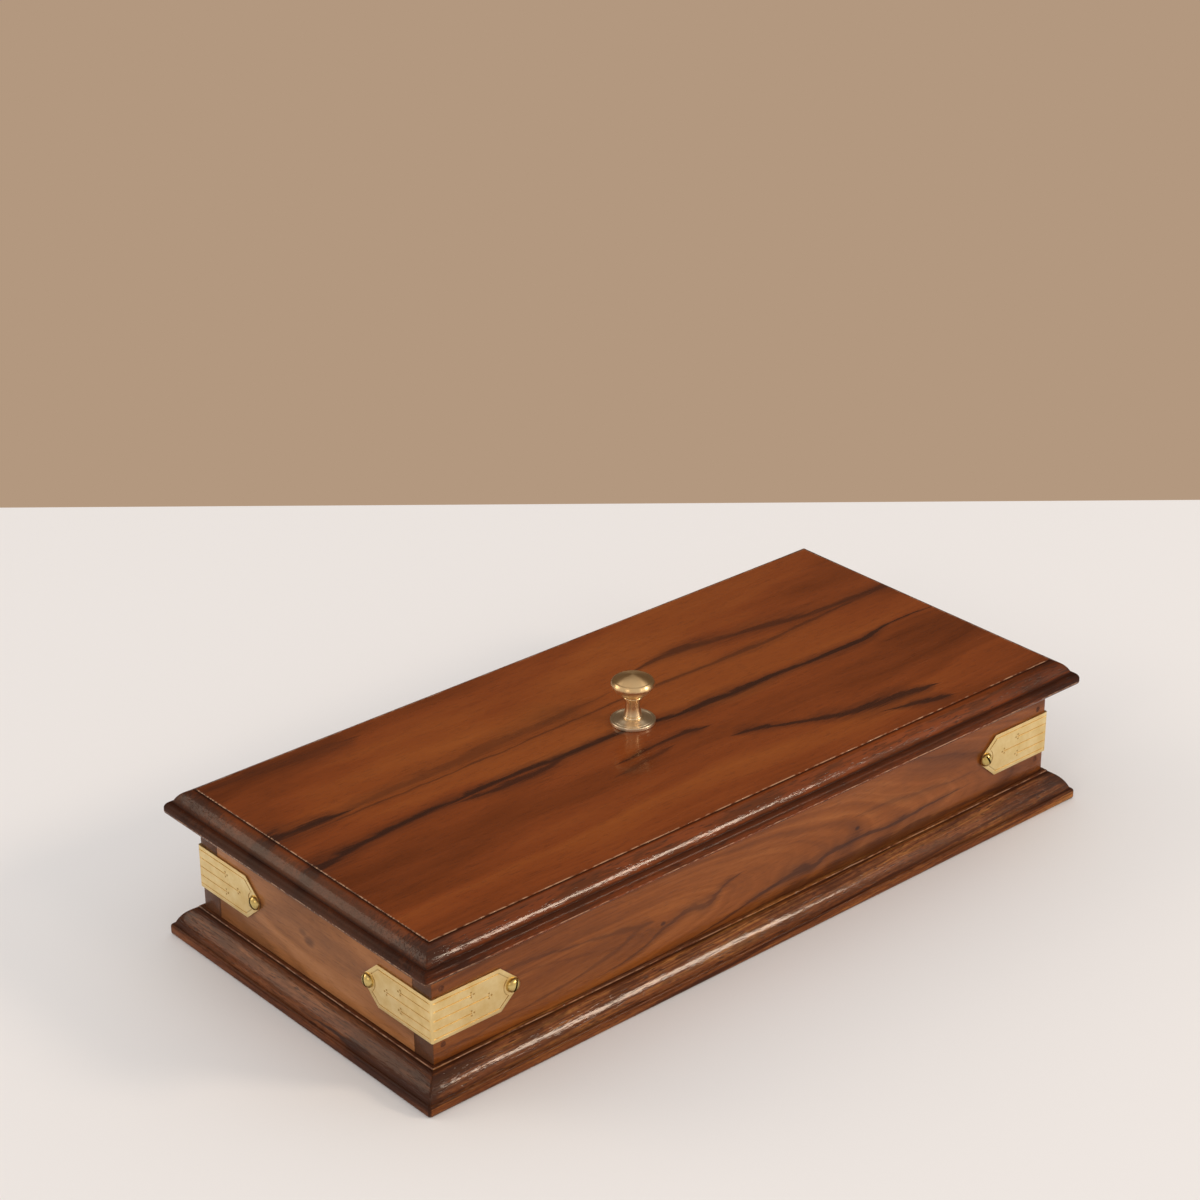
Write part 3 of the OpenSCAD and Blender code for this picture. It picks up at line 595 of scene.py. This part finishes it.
def spread_on_seats(tree, geometry, material, kept=None):
    """Puts the geometry on every seat, turned its own way, with its material on all but the faces in kept."""
    host = add(tree, "NodeGroupInput")
    points = add(tree, "GeometryNodeMeshToPoints", {"Mesh": host["Geometry"], "Radius": 0.0001})[0]
    way = add(tree, "GeometryNodeInputNamedAttribute", {"Name": "way"}, "FLOAT_VECTOR")["Attribute"]
    turn = add(tree, "GeometryNodeInputNamedAttribute", {"Name": "turn"}, "FLOAT")["Attribute"]
    facing = add(tree, "FunctionNodeAlignRotationToVector", {"Vector": way}, {"axis": "Z"})[0]
    spin = add(tree, "FunctionNodeAxisAngleToRotation", {"Axis": (0, 0, 1), "Angle": turn})[0]
    turned = add(tree, "FunctionNodeRotateRotation", {"Rotation": facing, "Rotate By": spin},
                 {"rotation_space": "LOCAL"})[0]
    placed = add(tree, "GeometryNodeInstanceOnPoints", {"Points": points, "Instance": geometry,
                                                        "Rotation": turned})[0]
    real = add(tree, "GeometryNodeRealizeInstances", {"Geometry": placed})[0]
    chosen = True
    if kept is not None:
        left_alone = add(tree, "GeometryNodeMaterialSelection", {"Material": kept})[0]
        chosen = add(tree, "FunctionNodeBooleanMath", (left_alone,), "NOT")[0]
    done = add(tree, "GeometryNodeSetMaterial", {"Geometry": real, "Selection": chosen,
                                                 "Material": material})[0]
    add(tree, "NodeGroupOutput", {"Geometry": done})


def screw_tree():
    """A slotted wood screw, with a domed or flat head, a shank and a point. Its seat is at the origin."""
    tree, host = part_tree("slotted screw", (
        "Head diameter", "Dome height", "Sunk depth", "Slot width", "Slot depth", "Shank diameter",
        "Shank length", "Point length"), ("Metal", "Slot grime"))
    half = add(tree, "Math", (host["Head diameter"], 0.5), "MULTIPLY")[0]
    shank_r = add(tree, "Math", (host["Shank diameter"], 0.5), "MULTIPLY")[0]
    ball = add(tree, "GeometryNodeMeshUVSphere", {"Segments": 48, "Rings": 32, "Radius": 1.0})["Mesh"]
    dome_size = add(tree, "CombineXYZ", (half, half, host["Dome height"]))[0]
    dome = add(tree, "GeometryNodeTransform", {"Geometry": ball, "Scale": dome_size})[0]
    under = along_axis(tree, add(tree, "GeometryNodeMeshCube", {"Size": (1, 1, 1)})["Mesh"], -0.5)
    head = add(tree, "GeometryNodeMeshBoolean", {"Mesh 1": dome, "Mesh 2": under},
               {"operation": "DIFFERENCE", "solver": "EXACT"})[0]
    cone = add(tree, "GeometryNodeMeshCone", {
        "Vertices": 48, "Radius Top": half, "Radius Bottom": shank_r, "Depth": host["Sunk depth"]})["Mesh"]
    cone = along_axis(tree, cone, add(tree, "Math", (host["Sunk depth"], -1), "MULTIPLY")[0])
    straight = add(tree, "Math", (host["Shank length"], host["Point length"]), "SUBTRACT")[0]
    shank = add(tree, "GeometryNodeMeshCylinder", {"Vertices": 32, "Radius": shank_r,
                                                   "Depth": straight})["Mesh"]
    shank = along_axis(tree, shank, add(tree, "Math", (straight, -0.5), "MULTIPLY")[0])
    tip = add(tree, "GeometryNodeMeshCone", {
        "Vertices": 32, "Radius Top": shank_r, "Radius Bottom": 0.0, "Depth": host["Point length"]})["Mesh"]
    tip = along_axis(tree, tip, add(tree, "Math", (host["Shank length"], -1), "MULTIPLY")[0])
    joined = add(tree, "GeometryNodeMeshBoolean", settings={"operation": "UNION", "solver": "EXACT"})
    union = joined[0].node
    for part in (head, cone, shank, tip):
        tree.links.new(part, union.inputs["Mesh 2"])
    body = add(tree, "GeometryNodeSetMaterial", {"Geometry": joined[0], "Material": host["Metal"]})[0]
    slot_long = add(tree, "Math", (host["Head diameter"], 2), "MULTIPLY")[0]
    slot_tall = add(tree, "Math", (host["Slot depth"], 2), "MULTIPLY")[0]
    slot_size = add(tree, "CombineXYZ", (slot_long, host["Slot width"], slot_tall))[0]
    slot = along_axis(tree, add(tree, "GeometryNodeMeshCube", {"Size": slot_size})["Mesh"],
                      host["Dome height"])
    slot = add(tree, "GeometryNodeSetMaterial", {"Geometry": slot, "Material": host["Slot grime"]})[0]
    cut = add(tree, "GeometryNodeMeshBoolean", {"Mesh 1": body, "Mesh 2": slot},
              {"operation": "DIFFERENCE", "solver": "EXACT"})[0]
    spread_on_seats(tree, cut, host["Metal"], host["Slot grime"])
    return tree


screw_metal = brass("bright screw brass", "#dcc684", "#c4aa64", 0.3, (1 / 6, 1 / 6, 1 / 6))
slot_grime = brass("old polish in a slot", "#75602f", "#5c4a22", 0.6, (1 / 3, 1 / 3, 1 / 3))
wood_screw = screw_tree()
strap_seats = []
for sx, sy, long_turn, end_turn in STRAP_SLOTS:
    long_spot = (sx * (WALL_FACE_X - SCREW_X), sy * (WALL_FACE_Y + STRAP_T), STRAP_Z)
    end_spot = (sx * (WALL_FACE_X + STRAP_T), sy * (WALL_FACE_Y - SCREW_X), STRAP_Z)
    strap_seats += [(long_spot, (0, sy, 0), long_turn), (end_spot, (sx, 0, 0), end_turn)]
mesh = grow("strap_screws", wood_screw, strap_seats, {
    "Head diameter": 5.5 * MM, "Dome height": 2 * MM, "Sunk depth": 0.3 * MM, "Slot width": SLOT_W * MM,
    "Slot depth": SLOT_D * MM, "Shank diameter": 2.4 * MM, "Shank length": 8.5 * MM, "Point length": 3 * MM,
    "Metal": screw_metal, "Slot grime": slot_grime})
piece("strap_screws_brass", mesh, (), "case", ["strap_screws"])


# Pins
# Steel wire pins hold the butted corners and the bottom board. The corner pins are punched in a little and
# the holes stopped with dark wax, two of which show at each corner.
PIN_SET = 0.4
PIN_HEAD_D = 2.2
PIN_HEAD_H = 0.8
CORNER_PIN_IN = 4.2
CORNER_PIN_PITCH = 10.9
BOTTOM_RISE = 1.5
BOTTOM_PIN_X = (-112, -36.4, 36.4, 112)
BOTTOM_PIN_Y = (-28.15, 28.15)
BOTTOM_ROW_X = 142.5
BOTTOM_ROW_Y = 58.8


def pin_tree():
    """A wire pin with a flat head, or a short plug where its wire has no length."""
    tree, host = part_tree("wire pin", (
        "Head diameter", "Head height", "Head sunk", "Wire diameter", "Wire length"), ("Material",))
    head_r = add(tree, "Math", (host["Head diameter"], 0.5), "MULTIPLY")[0]
    wire_r = add(tree, "Math", (host["Wire diameter"], 0.5), "MULTIPLY")[0]
    top = add(tree, "Math", (host["Head sunk"], -1), "MULTIPLY")[0]
    head = add(tree, "GeometryNodeMeshCylinder", {
        "Vertices": 24, "Radius": head_r, "Depth": host["Head height"]})["Mesh"]
    head = along_axis(tree, head, add(tree, "Math", (host["Head height"], -0.5, top), "MULTIPLY_ADD")[0])
    under = add(tree, "Math", (top, host["Head height"]), "SUBTRACT")[0]
    wire = add(tree, "GeometryNodeMeshCylinder", {
        "Vertices": 16, "Radius": wire_r, "Depth": host["Wire length"]})["Mesh"]
    wire = along_axis(tree, wire, add(tree, "Math", (host["Wire length"], -0.5, under), "MULTIPLY_ADD")[0])
    both = add(tree, "GeometryNodeJoinGeometry")
    for part in (wire, head):
        tree.links.new(part, both[0].node.inputs[0])
    driven = add(tree, "FunctionNodeCompare", (host["Wire length"], 0.0),
                 {"data_type": "FLOAT", "operation": "GREATER_THAN"})[0]
    chosen = add(tree, "GeometryNodeSwitch", {"Switch": driven, "False": head, "True": both[0]},
                 {"input_type": "GEOMETRY"})[0]
    spread_on_seats(tree, chosen, host["Material"])
    return tree


def plain_metal(name, colour, rough):
    """Drawn or plated steel: dull grey, with fine marks from the die."""
    material, t = new_material(name)
    marks = add(t, "TexNoise", {"Vector": object_mm(t), "Scale": 1.6, "Detail": 4, "Roughness": 0.7})["Fac"]
    tint = add(t, "Mix", {0: marks, 6: colour, 7: "#6f6a62"}, "RGBA")[2]
    roughness = add(t, "Math", (marks, 0.25, rough - 0.12), "MULTIPLY_ADD")[0]
    bump = add(t, "Bump", {"Strength": 0.3, "Distance": 0.02 * MM, "Height": marks})[0]
    return surfaced(material, {"Base Color": tint, "Metallic": 1.0, "Roughness": roughness, "Normal": bump})


def hard_wax():
    """Dark stopping wax, pressed in and scraped off level."""
    material, t = new_material("dark stopping wax")
    mottle = add(t, "TexNoise", {"Vector": object_mm(t), "Scale": 1.2, "Detail": 3})["Fac"]
    colour = add(t, "ValToRGB", (mottle,), {
        "stops": ((0.3, "#4a2817"), (0.5, "#5b331f"), (0.7, "#6c4028"))})["Color"]
    bump = add(t, "Bump", {"Strength": 0.5, "Distance": 0.1 * MM, "Height": mottle})[0]
    return surfaced(material, {"Base Color": colour, "Roughness": 0.6, "Normal": bump,
                               "Specular IOR Level": 0.15})


wire_pin = pin_tree()
pin_steel = plain_metal("pin steel", "#a9a69f", 0.45)
corner_x = WALL_FACE_X - CORNER_PIN_IN
corner_seats = [((sx * corner_x, sy * WALL_FACE_Y, STRAP_Z + k * CORNER_PIN_PITCH), (0, sy, 0), 0)
                for sx in (-1, 1) for sy in (-1, 1) for k in (-1, 0, 1)]
mesh = grow("corner_pins", wire_pin, corner_seats, {
    "Head diameter": PIN_HEAD_D * MM, "Head height": PIN_HEAD_H * MM, "Head sunk": PIN_SET * MM,
    "Wire diameter": 1.6 * MM, "Wire length": 24.2 * MM, "Material": pin_steel})
piece("corner_pins_steel", mesh, (), "case", ["corner_pins"])
mesh = grow("pin_stopping", wire_pin, corner_seats, {
    "Head diameter": 2.28 * MM, "Head height": 0.37 * MM, "Head sunk": 0.02 * MM, "Wire diameter": 1 * MM,
    "Wire length": 0.0, "Material": hard_wax()})
piece("pin_stopping_wax", mesh, (), "case", [])
bottom_seats = [((x, sy * BOTTOM_ROW_Y, BOTTOM_RISE), (0, 0, -1), 0) for sy in (-1, 1) for x in BOTTOM_PIN_X]
bottom_seats += [((sx * BOTTOM_ROW_X, y, BOTTOM_RISE), (0, 0, -1), 0) for sx in (-1, 1) for y in BOTTOM_PIN_Y]
mesh = grow("bottom_pins", wire_pin, bottom_seats, {
    "Head diameter": PIN_HEAD_D * MM, "Head height": PIN_HEAD_H * MM, "Head sunk": 0.0,
    "Wire diameter": 1.2 * MM, "Wire length": 12.2 * MM, "Material": pin_steel})
piece("bottom_pins_steel", mesh, (), "case", ["bottom_pins"])


# Lid board
# One wide rosewood board with the same kind of worked edge on all four sides: a raised field, a small step, a
# round and a lip. Dark veins run through it from end to end, and its varnish is worn along the arris.
LID_T = 10.5
LID_OUT = 9
LID_FIELD_OUT = 0.4
LID_STEP = 0.5
LID_ROUND_R = 7.6
LID_LIP_H = 4.9
LID_LIP_OUT = 2.4
LID_NOSE_R = 1.4
LID_HOLE_D = 4.5
KNOB_X = -1.8
KNOB_Y = 1.5
BATTEN_X = 133.25
BATTEN_SCREW_Y = 36
BATTEN_HOLE_R = 1.55
BATTEN_HOLE_L = 6.05
HOLE_STEPS = 32


def drill(bm, x, y, radius, low, high, through):
    """The wall of a round hole up from the underside, left open where it meets a face."""
    turns = [2 * pi * i / HOLE_STEPS for i in range(HOLE_STEPS)]
    rings = [[bm.verts.new(((x + radius * cos(a)) * MM, (y + radius * sin(a)) * MM, z * MM)) for a in turns]
             for z in (low, high)]
    for i in range(HOLE_STEPS):
        j = (i + 1) % HOLE_STEPS
        bm.faces.new((rings[0][i], rings[0][j], rings[1][j], rings[1][i]))
    if not through:
        bm.faces.new(rings[1])


lid_profile = moulded_edge(LID_OUT, LID_LIP_H, LID_LIP_OUT, (LID_FIELD_OUT, LID_T - LID_STEP), LID_ROUND_R,
                           LID_T, LID_NOSE_R, 0.9, 0.8, 1)
lid_sides = [(WALL_FACE_X, WALL_FACE_Y, 0), (WALL_FACE_Y, WALL_FACE_X, pi / 2),
             (WALL_FACE_X, WALL_FACE_Y, pi), (WALL_FACE_Y, WALL_FACE_X, -pi / 2)]
bm = build_sides(lid_profile, lid_sides, False, WALL_H)
drill(bm, KNOB_X, KNOB_Y, LID_HOLE_D / 2, WALL_H, WALL_H + LID_T, True)
for x in (-BATTEN_X, BATTEN_X):
    for y in (-BATTEN_SCREW_Y, BATTEN_SCREW_Y):
        drill(bm, x, y, BATTEN_HOLE_R, WALL_H, WALL_H + BATTEN_HOLE_L, False)
for level in (WALL_H, WALL_H + LID_T):
    rim = [e for e in bm.edges if e.is_boundary and all(abs(v.co.z / MM - level) < MERGE for v in e.verts)]
    bmesh.ops.triangle_fill(bm, use_beauty=True, use_dissolve=False, edges=rim)
bmesh.ops.recalc_face_normals(bm, faces=bm.faces)
lid_veins = (
    (((-160, 20.6), (-148, 20.2), (-135, 19.0), (-118, 18.4), (160, 18)),
     ((-160, 4.4), (-150, 4.0), (-138, 2.6), (-124, 1.5), (-112, 0), (160, 0)), 0.95),
    (((-160, 20), (-120, 19.5), (-60, 21), (-25, 22.5), (0, 24), (160, 24)),
     ((-160, 0), (-125, 1.2), (-90, 2.2), (-40, 3.0), (-20, 2.2), (0, 0.6), (12, 0), (160, 0)), 0.45),
    (((-160, -6), (-150, -5.8), (-135, -3.6), (-110, -1.3), (-85, -0.4), (-60, -0.2), (-40, -1.2), (-8, -2.0),
      (8, -4.4), (25, -5.9), (48, -6.6), (66, -6.4), (90, -7.8), (110, -7.4), (128, -4.5), (160, -6)),
     ((-160, 3.6), (-148, 2.9), (-125, 1.6), (-90, 1.5), (-60, 1.3), (-30, 1.6), (-5, 1.2), (20, 1.8),
      (45, 1.9),
      (70, 1.2), (95, 1.3), (115, 1.0), (135, 0.3), (160, 0.2)), 0.95),
    (((-160, -3), (-88, -2.4), (-68, -4.4), (-48, -4.0), (-36, -1.4), (160, -1)),
     ((-160, 0), (-92, 0), (-80, 1.2), (-58, 1.8), (-40, 1.6), (-30, 0), (160, 0)), 0.85),
    (((-160, -17), (-26, -19.2), (-10, -17.4), (2, -17.6), (15, -18.8), (160, -20)),
     ((-160, 0), (-30, 0), (-20, 0.8), (-5, 1.2), (10, 1.1), (20, 0), (160, 0)), 0.85),
    (((-160, -25), (-30, -25.4), (-12, -22.8), (160, -20)),
     ((-160, 0), (-36, 0), (-24, 1.6), (-12, 1.4), (0, 0), (160, 0)), 0.6),
    (((-160, -30), (22, -31), (40, -38), (55, -44), (70, -47.6), (88, -49.6), (100, -52), (160, -54)),
     ((-160, 0), (16, 0), (26, 1.6), (40, 1.2), (55, 2.0), (70, 2.8), (85, 2.6), (96, 1.6), (106, 0),
      (160, 0)), 0.9),
    (((-160, -50), (72, -54.0), (84, -56.8), (98, -61), (160, -62)),
     ((-160, 0), (70, 0), (80, 1.2), (92, 2.0), (100, 1.0), (104, 0), (160, 0)), 0.9),
    (((-160, 30), (20, 31), (45, 33), (65, 30.6), (85, 27), (110, 22.6), (140, 20.6), (160, 20.4)),
     ((-160, 0), (20, 0), (35, 1.2), (55, 2.2), (80, 2.0), (105, 2.4), (130, 1.6), (160, 1.8)), 0.72),
    (((-160, 15.8), (-60, 15.7), (0, 17), (50, 16.4), (75, 15.9), (100, 17.4), (125, 19), (160, 18.6)),
     ((-160, 0.5), (-100, 0.45), (0, 0.5), (40, 0.8), (70, 1.2), (100, 1.1), (140, 0.6), (160, 0.8)), 0.6),
    (((-160, 62), (-132, 62.5), (-110, 60), (-88, 59.5), (160, 58)),
     ((-160, 0), (-142, 1.2), (-115, 3.4), (-95, 3.6), (-82, 0), (160, 0)), 0.42),
)
lid_wood = rosewood("lid rosewood", "XYZ", (30, -70, 0.05, 0.02), ("#55260d", "#7b3b17", "#904d1e"), band=10,
                    shift=0.6, sway=9, veins=lid_veins, contrast=0.6, gloss=0.27, fine=0.4, dim_ends=0.15,
                    moulded=True)
piece("lid_board_rosewood", smooth_mesh(bm, "lid_board"), [lid_wood], "lid", ["lid_board"])


# Lid battens
# Two rosewood battens under the lid keep it flat and drop between the walls to place it. Their lower edges
# are chamfered to lead them in.
for node, shift in (("left_batten", 11.3), ("right_batten", 12.7)):
    wood = rosewood(node + " rosewood", "YXZ", (25, 14, 0.02, 0.03), plinth_tones, band=5, shift=shift,
                    sway=5, gloss=0.42)
    piece(node + "_strip", eased_copy(node, 0.25, LONG_EDGE), [wood], "lid", [node])


# Batten screws
# Four countersunk brass wood screws, driven up through the battens into the lid and flush with the wood.
BATTEN_T = 8
batten_seats = [((sx * BATTEN_X, sy * BATTEN_SCREW_Y, WALL_H - BATTEN_T), (0, 0, -1), 20 + 50 * sx * sy)
                for sx in (-1, 1) for sy in (-1, 1)]
mesh = grow("batten_screws", wood_screw, batten_seats, {
    "Head diameter": 6 * MM, "Dome height": 0.06 * MM, "Sunk depth": 1.5 * MM, "Slot width": SLOT_W * MM,
    "Slot depth": SLOT_D * MM, "Shank diameter": 3 * MM, "Shank length": 14 * MM, "Point length": 3 * MM,
    "Metal": screw_metal, "Slot grime": slot_grime})
piece("batten_screws_brass", mesh, (), "lid", ["batten_screws"])


# Knob
# One piece of brass turned in a lathe: a flange with a small rim, a bead, a waisted stem, a collar and a
# mushroom head. It was brought up with fine paper in the lathe, so its scratches run round it and its shine
# is satin.
FLANGE_R = 8.45
FLANGE_T = 1.4
RIM_R = 0.3
WAIST_R = 2.8
STEM_FLARE = 0.5
FOOT_R = 3.5
STEM_H = 11.4
HEAD_R = 8.2
HEAD_SIDE_R = 2.2
KNOB_H = 19.6
BORE_R = 2
BORE_L = 8
AROUND = 128
lid_top = WALL_H + LID_T
bead_z, bead_top = FLANGE_T + 0.7, FLANGE_T + 1.6
waist_z, collar_z = bead_top + 3.6, STEM_H - 1.3
edge_z = STEM_H + 3.7
outline = [(0, BORE_L), (BORE_R, BORE_L), (BORE_R, 0), (FLANGE_R - RIM_R, 0)]
outline += arc_points((FLANGE_R - RIM_R, 0), (FLANGE_R, RIM_R), RIM_R, 4)[1:]
outline += arc_points((FLANGE_R, FLANGE_T - RIM_R), (FLANGE_R - RIM_R, FLANGE_T), RIM_R, 4)
outline += [(FLANGE_R - 1.1, FLANGE_T), (FLANGE_R - 1.25, FLANGE_T - 0.1), (FLANGE_R - 1.4, FLANGE_T + 0.02)]
outline += [(FLANGE_R - 1.4 - 2.5 * i / 6, FLANGE_T + 0.02 + 0.68 * (i / 6) ** 1.5) for i in range(1, 6)]
outline += [(WAIST_R + 1.7, bead_z)]
outline += arc_points((FOOT_R, bead_z), (FOOT_R - RIM_R, bead_top), 0.5, 12)
for i in range(1, 25):
    z = bead_top + (collar_z - bead_top) * i / 24
    outline.append((WAIST_R + STEM_FLARE * ((z - waist_z) / (collar_z - waist_z)) ** 2, z))
outline += arc_points((FOOT_R, collar_z), (FOOT_R, collar_z + 0.9), 0.5, 10)
outline += [(WAIST_R + RIM_R, STEM_H - 0.3)]
outline += arc_points((WAIST_R + STEM_FLARE, STEM_H), (HEAD_R - RIM_R, edge_z), 6.4, 12)
outline += arc_points((HEAD_R - RIM_R / 6, edge_z + 2 * RIM_R), (HEAD_R - 3 * RIM_R, KNOB_H - HEAD_SIDE_R),
                      HEAD_SIDE_R, 10)
outline += arc_points((HEAD_R - 4 * RIM_R, KNOB_H - HEAD_SIDE_R), (0, KNOB_H), 14, 16)
bm = bmesh.new()
rings = []
for r, z in outline:
    turns = [2 * pi * i / AROUND for i in range(AROUND)] if r > MERGE else [0]
    ring = [bm.verts.new(((KNOB_X + r * cos(a)) * MM, (KNOB_Y + r * sin(a)) * MM, (lid_top + z) * MM))
            for a in turns]
    rings.append(ring if len(ring) > 1 else ring * AROUND)
for low, high in zip(rings, rings[1:]):
    for i in range(AROUND):
        j = (i + 1) % AROUND
        corners = list(dict.fromkeys((low[i], low[j], high[j], high[i])))
        bm.faces.new(corners)
bmesh.ops.recalc_face_normals(bm, faces=bm.faces)


def turned_brass():
    """Satin brass with scratches that run round the axis of the lathe."""
    material, t = new_material("turned knob brass")
    mm = add(t, "VectorMath", (object_mm(t), (KNOB_X, KNOB_Y, 0)), "SUBTRACT")[0]
    parts = add(t, "SeparateXYZ", (mm,))
    level = add(t, "VectorMath", (mm, (1, 1, 0)), "MULTIPLY")[0]
    radius = add(t, "VectorMath", (level,), "LENGTH")["Value"]
    angle = add(t, "Math", (parts[1], parts[0]), "ARCTAN2")[0]
    around = add(t, "Math", (angle,), "SINE")[0]
    lathe = add(t, "CombineXYZ", (add(t, "Math", (radius, 7.0), "MULTIPLY")[0],
                                  add(t, "Math", (parts[2], 7.0), "MULTIPLY")[0], around))[0]
    rings = add(t, "TexNoise", {"Vector": lathe, "Scale": 1, "Detail": 2, "Roughness": 0.6})["Fac"]
    patches = add(t, "TexNoise", {"Vector": mm, "Scale": 0.22, "Detail": 3})["Fac"]
    tint = add(t, "Mix", {0: patches, 6: "#f8deb0", 7: "#ecc996"}, "RGBA")[2]
    # Painted reflection: towards the flange the brass is tinted paler, in place of a brighter room reflected
    # there.
    low = add(t, "MapRange", (parts[2], lid_top + waist_z, lid_top + FLANGE_T))[0]
    high = add(t, "MapRange", (parts[2], lid_top + STEM_H, lid_top + edge_z))[0]
    tint = add(t, "Mix", {0: low, 6: tint, 7: "#f2e3c8"}, "RGBA")[2]
    rubbed = add(t, "Math", (patches, 0.1, 0.22), "MULTIPLY_ADD")[0]
    rubbed = add(t, "Math", (low, 0.12, rubbed), "MULTIPLY_ADD")[0]
    roughness = add(t, "Math", (high, 0.08, rubbed), "MULTIPLY_ADD")[0]
    turned = add(t, "VectorMath", ((0, 0, 1), level), "CROSS_PRODUCT")[0]
    bump = add(t, "Bump", {"Strength": 0.4, "Distance": 0.03 * MM, "Height": rings})[0]
    return surfaced(material, {
        "Base Color": tint, "Metallic": 1.0, "Roughness": roughness, "Normal": bump, "Tangent": turned,
        "Anisotropic": 0.75, "Anisotropic Rotation": 0.25})


piece("turned_knob", smooth_mesh(bm, "knob"), [turned_brass()], "lid", ["knob"])

# The machine screw and its washer, which pull the knob down from inside the lid, are plain plated steel.
plated = plain_metal("plated steel", "#b9b8b2", 0.32)
for node in ("knob_screw", "knob_washer"):
    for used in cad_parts[node].material_slots:
        used.material = plated


# Table, backdrop, light and camera
# A plain pale cloth before a plain warm wall, three soft boxes in front and one behind, and an even, dim sky.
# The camera stands at the front left.
FLOOR_Z = -0.05
CLOTH = "#e9e6e5"
WALL_COLOUR = "#b3987f"
WALL_BEHIND = 331
WALL_HIGH = 600
HALF_SIZE = 6000
LAMP_AWAY = 3.0
SENSOR_W = 36
FOCAL_PIXELS = 2990.97
PIXELS_WIDE = 1200
camera_right = Vector((0.75392826, -0.65693085, -0.00583408))
camera_down = Vector((-0.29110553, -0.32610057, -0.89939757))
camera_ahead = Vector((0.58893951, 0.67977958, -0.43709264))
camera_spot = Vector((-0.644653, -0.722515, 0.580458))
ahead = Vector((camera_ahead.x, camera_ahead.y, 0)).normalized()
beside = Vector((ahead.y, -ahead.x, 0))


def stage_plane(name, corners, material):
    """One flat sheet of the room."""
    mesh = bpy.data.meshes.new(name)
    mesh.from_pydata([tuple(c * MM) for c in corners], [], [tuple(range(len(corners)))])
    mesh.materials.append(material)
    made = bpy.data.objects.new(name, mesh)
    bpy.context.scene.collection.objects.link(made)


cloth = surfaced(new_material("pale cloth")[0], {
    "Base Color": CLOTH, "Roughness": 0.9, "Specular IOR Level": 0.1})
down = Vector((0, 0, FLOOR_Z))
stage_plane("floor", [HALF_SIZE * (a * ahead + b * beside) + down
                      for a, b in ((-1, -1), (-1, 1), (1, 1), (1, -1))], cloth)

# The wall is lit for the camera and dim in reflections. From behind, and to the lamps, it isn't there.
wall, t = new_material("plain warm wall")
path = add(t, "LightPath")
seen = add(t, "Math", (path["Is Camera Ray"], path["Is Glossy Ray"]), "MAXIMUM")[0]
front = add(t, "Math", (seen, add(t, "NewGeometry")["Backfacing"]), "SUBTRACT")[0]
level = add(t, "MapRange", (path["Is Camera Ray"], 0, 1, 0.27, 1.0))[0]
glow = add(t, "Emission", {"Color": WALL_COLOUR, "Strength": level})[0]
clear = add(t, "BsdfTransparent")[0]
mixed = add(t, "MixShader", (front, clear, glow))[0]
add(t, "OutputMaterial", {"Surface": mixed})
behind = WALL_BEHIND * ahead
stage_plane("backdrop", [behind + HALF_SIZE * b * beside + Vector((0, 0, h)) + down
                         for b, h in ((-1, 0), (1, 0), (1, WALL_HIGH), (-1, WALL_HIGH))], wall)

world = bpy.data.worlds.new("even room light")
world.use_nodes = True
t = world.node_tree
t.nodes.clear()
path = add(t, "LightPath")
lit = add(t, "Background", {"Color": "#ffffff", "Strength": 0.8})[0]
mirrored = add(t, "Background", {"Color": "#fff0e0", "Strength": 0.6})[0]
shown = add(t, "Background", {"Color": WALL_COLOUR, "Strength": 1.0})[0]
lit = add(t, "MixShader", (path["Is Glossy Ray"], lit, mirrored))[0]
add(t, "OutputWorld", {"Surface": add(t, "MixShader", (path["Is Camera Ray"], lit, shown))[0]})
bpy.context.scene.world = world


def soft_box(name, azimuth, elevation, size, power):
    """A square soft box turned to the case. Azimuth is from +Y towards +X, in degrees. Size is in metres."""
    a, e = radians(azimuth), radians(elevation)
    way = Vector((sin(a) * cos(e), cos(a) * cos(e), sin(e)))
    lamp = bpy.data.lights.new(name, "AREA")
    lamp.shape = "SQUARE"
    lamp.size = size
    lamp.energy = power
    lamp.color = linear("#ffead2")[:3]
    made = bpy.data.objects.new(name, lamp)
    made.location = way * LAMP_AWAY
    made.rotation_euler = way.to_track_quat("Z", "Y").to_euler()
    bpy.context.scene.collection.objects.link(made)


soft_box("right soft box", 143, 27.8, 0.5, 25.5)
soft_box("left soft box", -40, 25, 1.4, 15)
soft_box("front right soft box", 172, 28, 0.5, 5.0)
soft_box("front left soft box", 250, 28, 0.5, 5.0)

lens = bpy.data.cameras.new("camera")
lens.sensor_width = SENSOR_W
lens.lens = FOCAL_PIXELS * SENSOR_W / PIXELS_WIDE
camera = bpy.data.objects.new("camera", lens)
axes = Matrix((camera_right, -camera_down, -camera_ahead)).transposed().to_4x4()
camera.matrix_world = Matrix.Translation(camera_spot) @ axes
bpy.context.scene.collection.objects.link(camera)
bpy.context.scene.camera = camera
bpy.context.scene.view_settings.view_transform = "Standard"
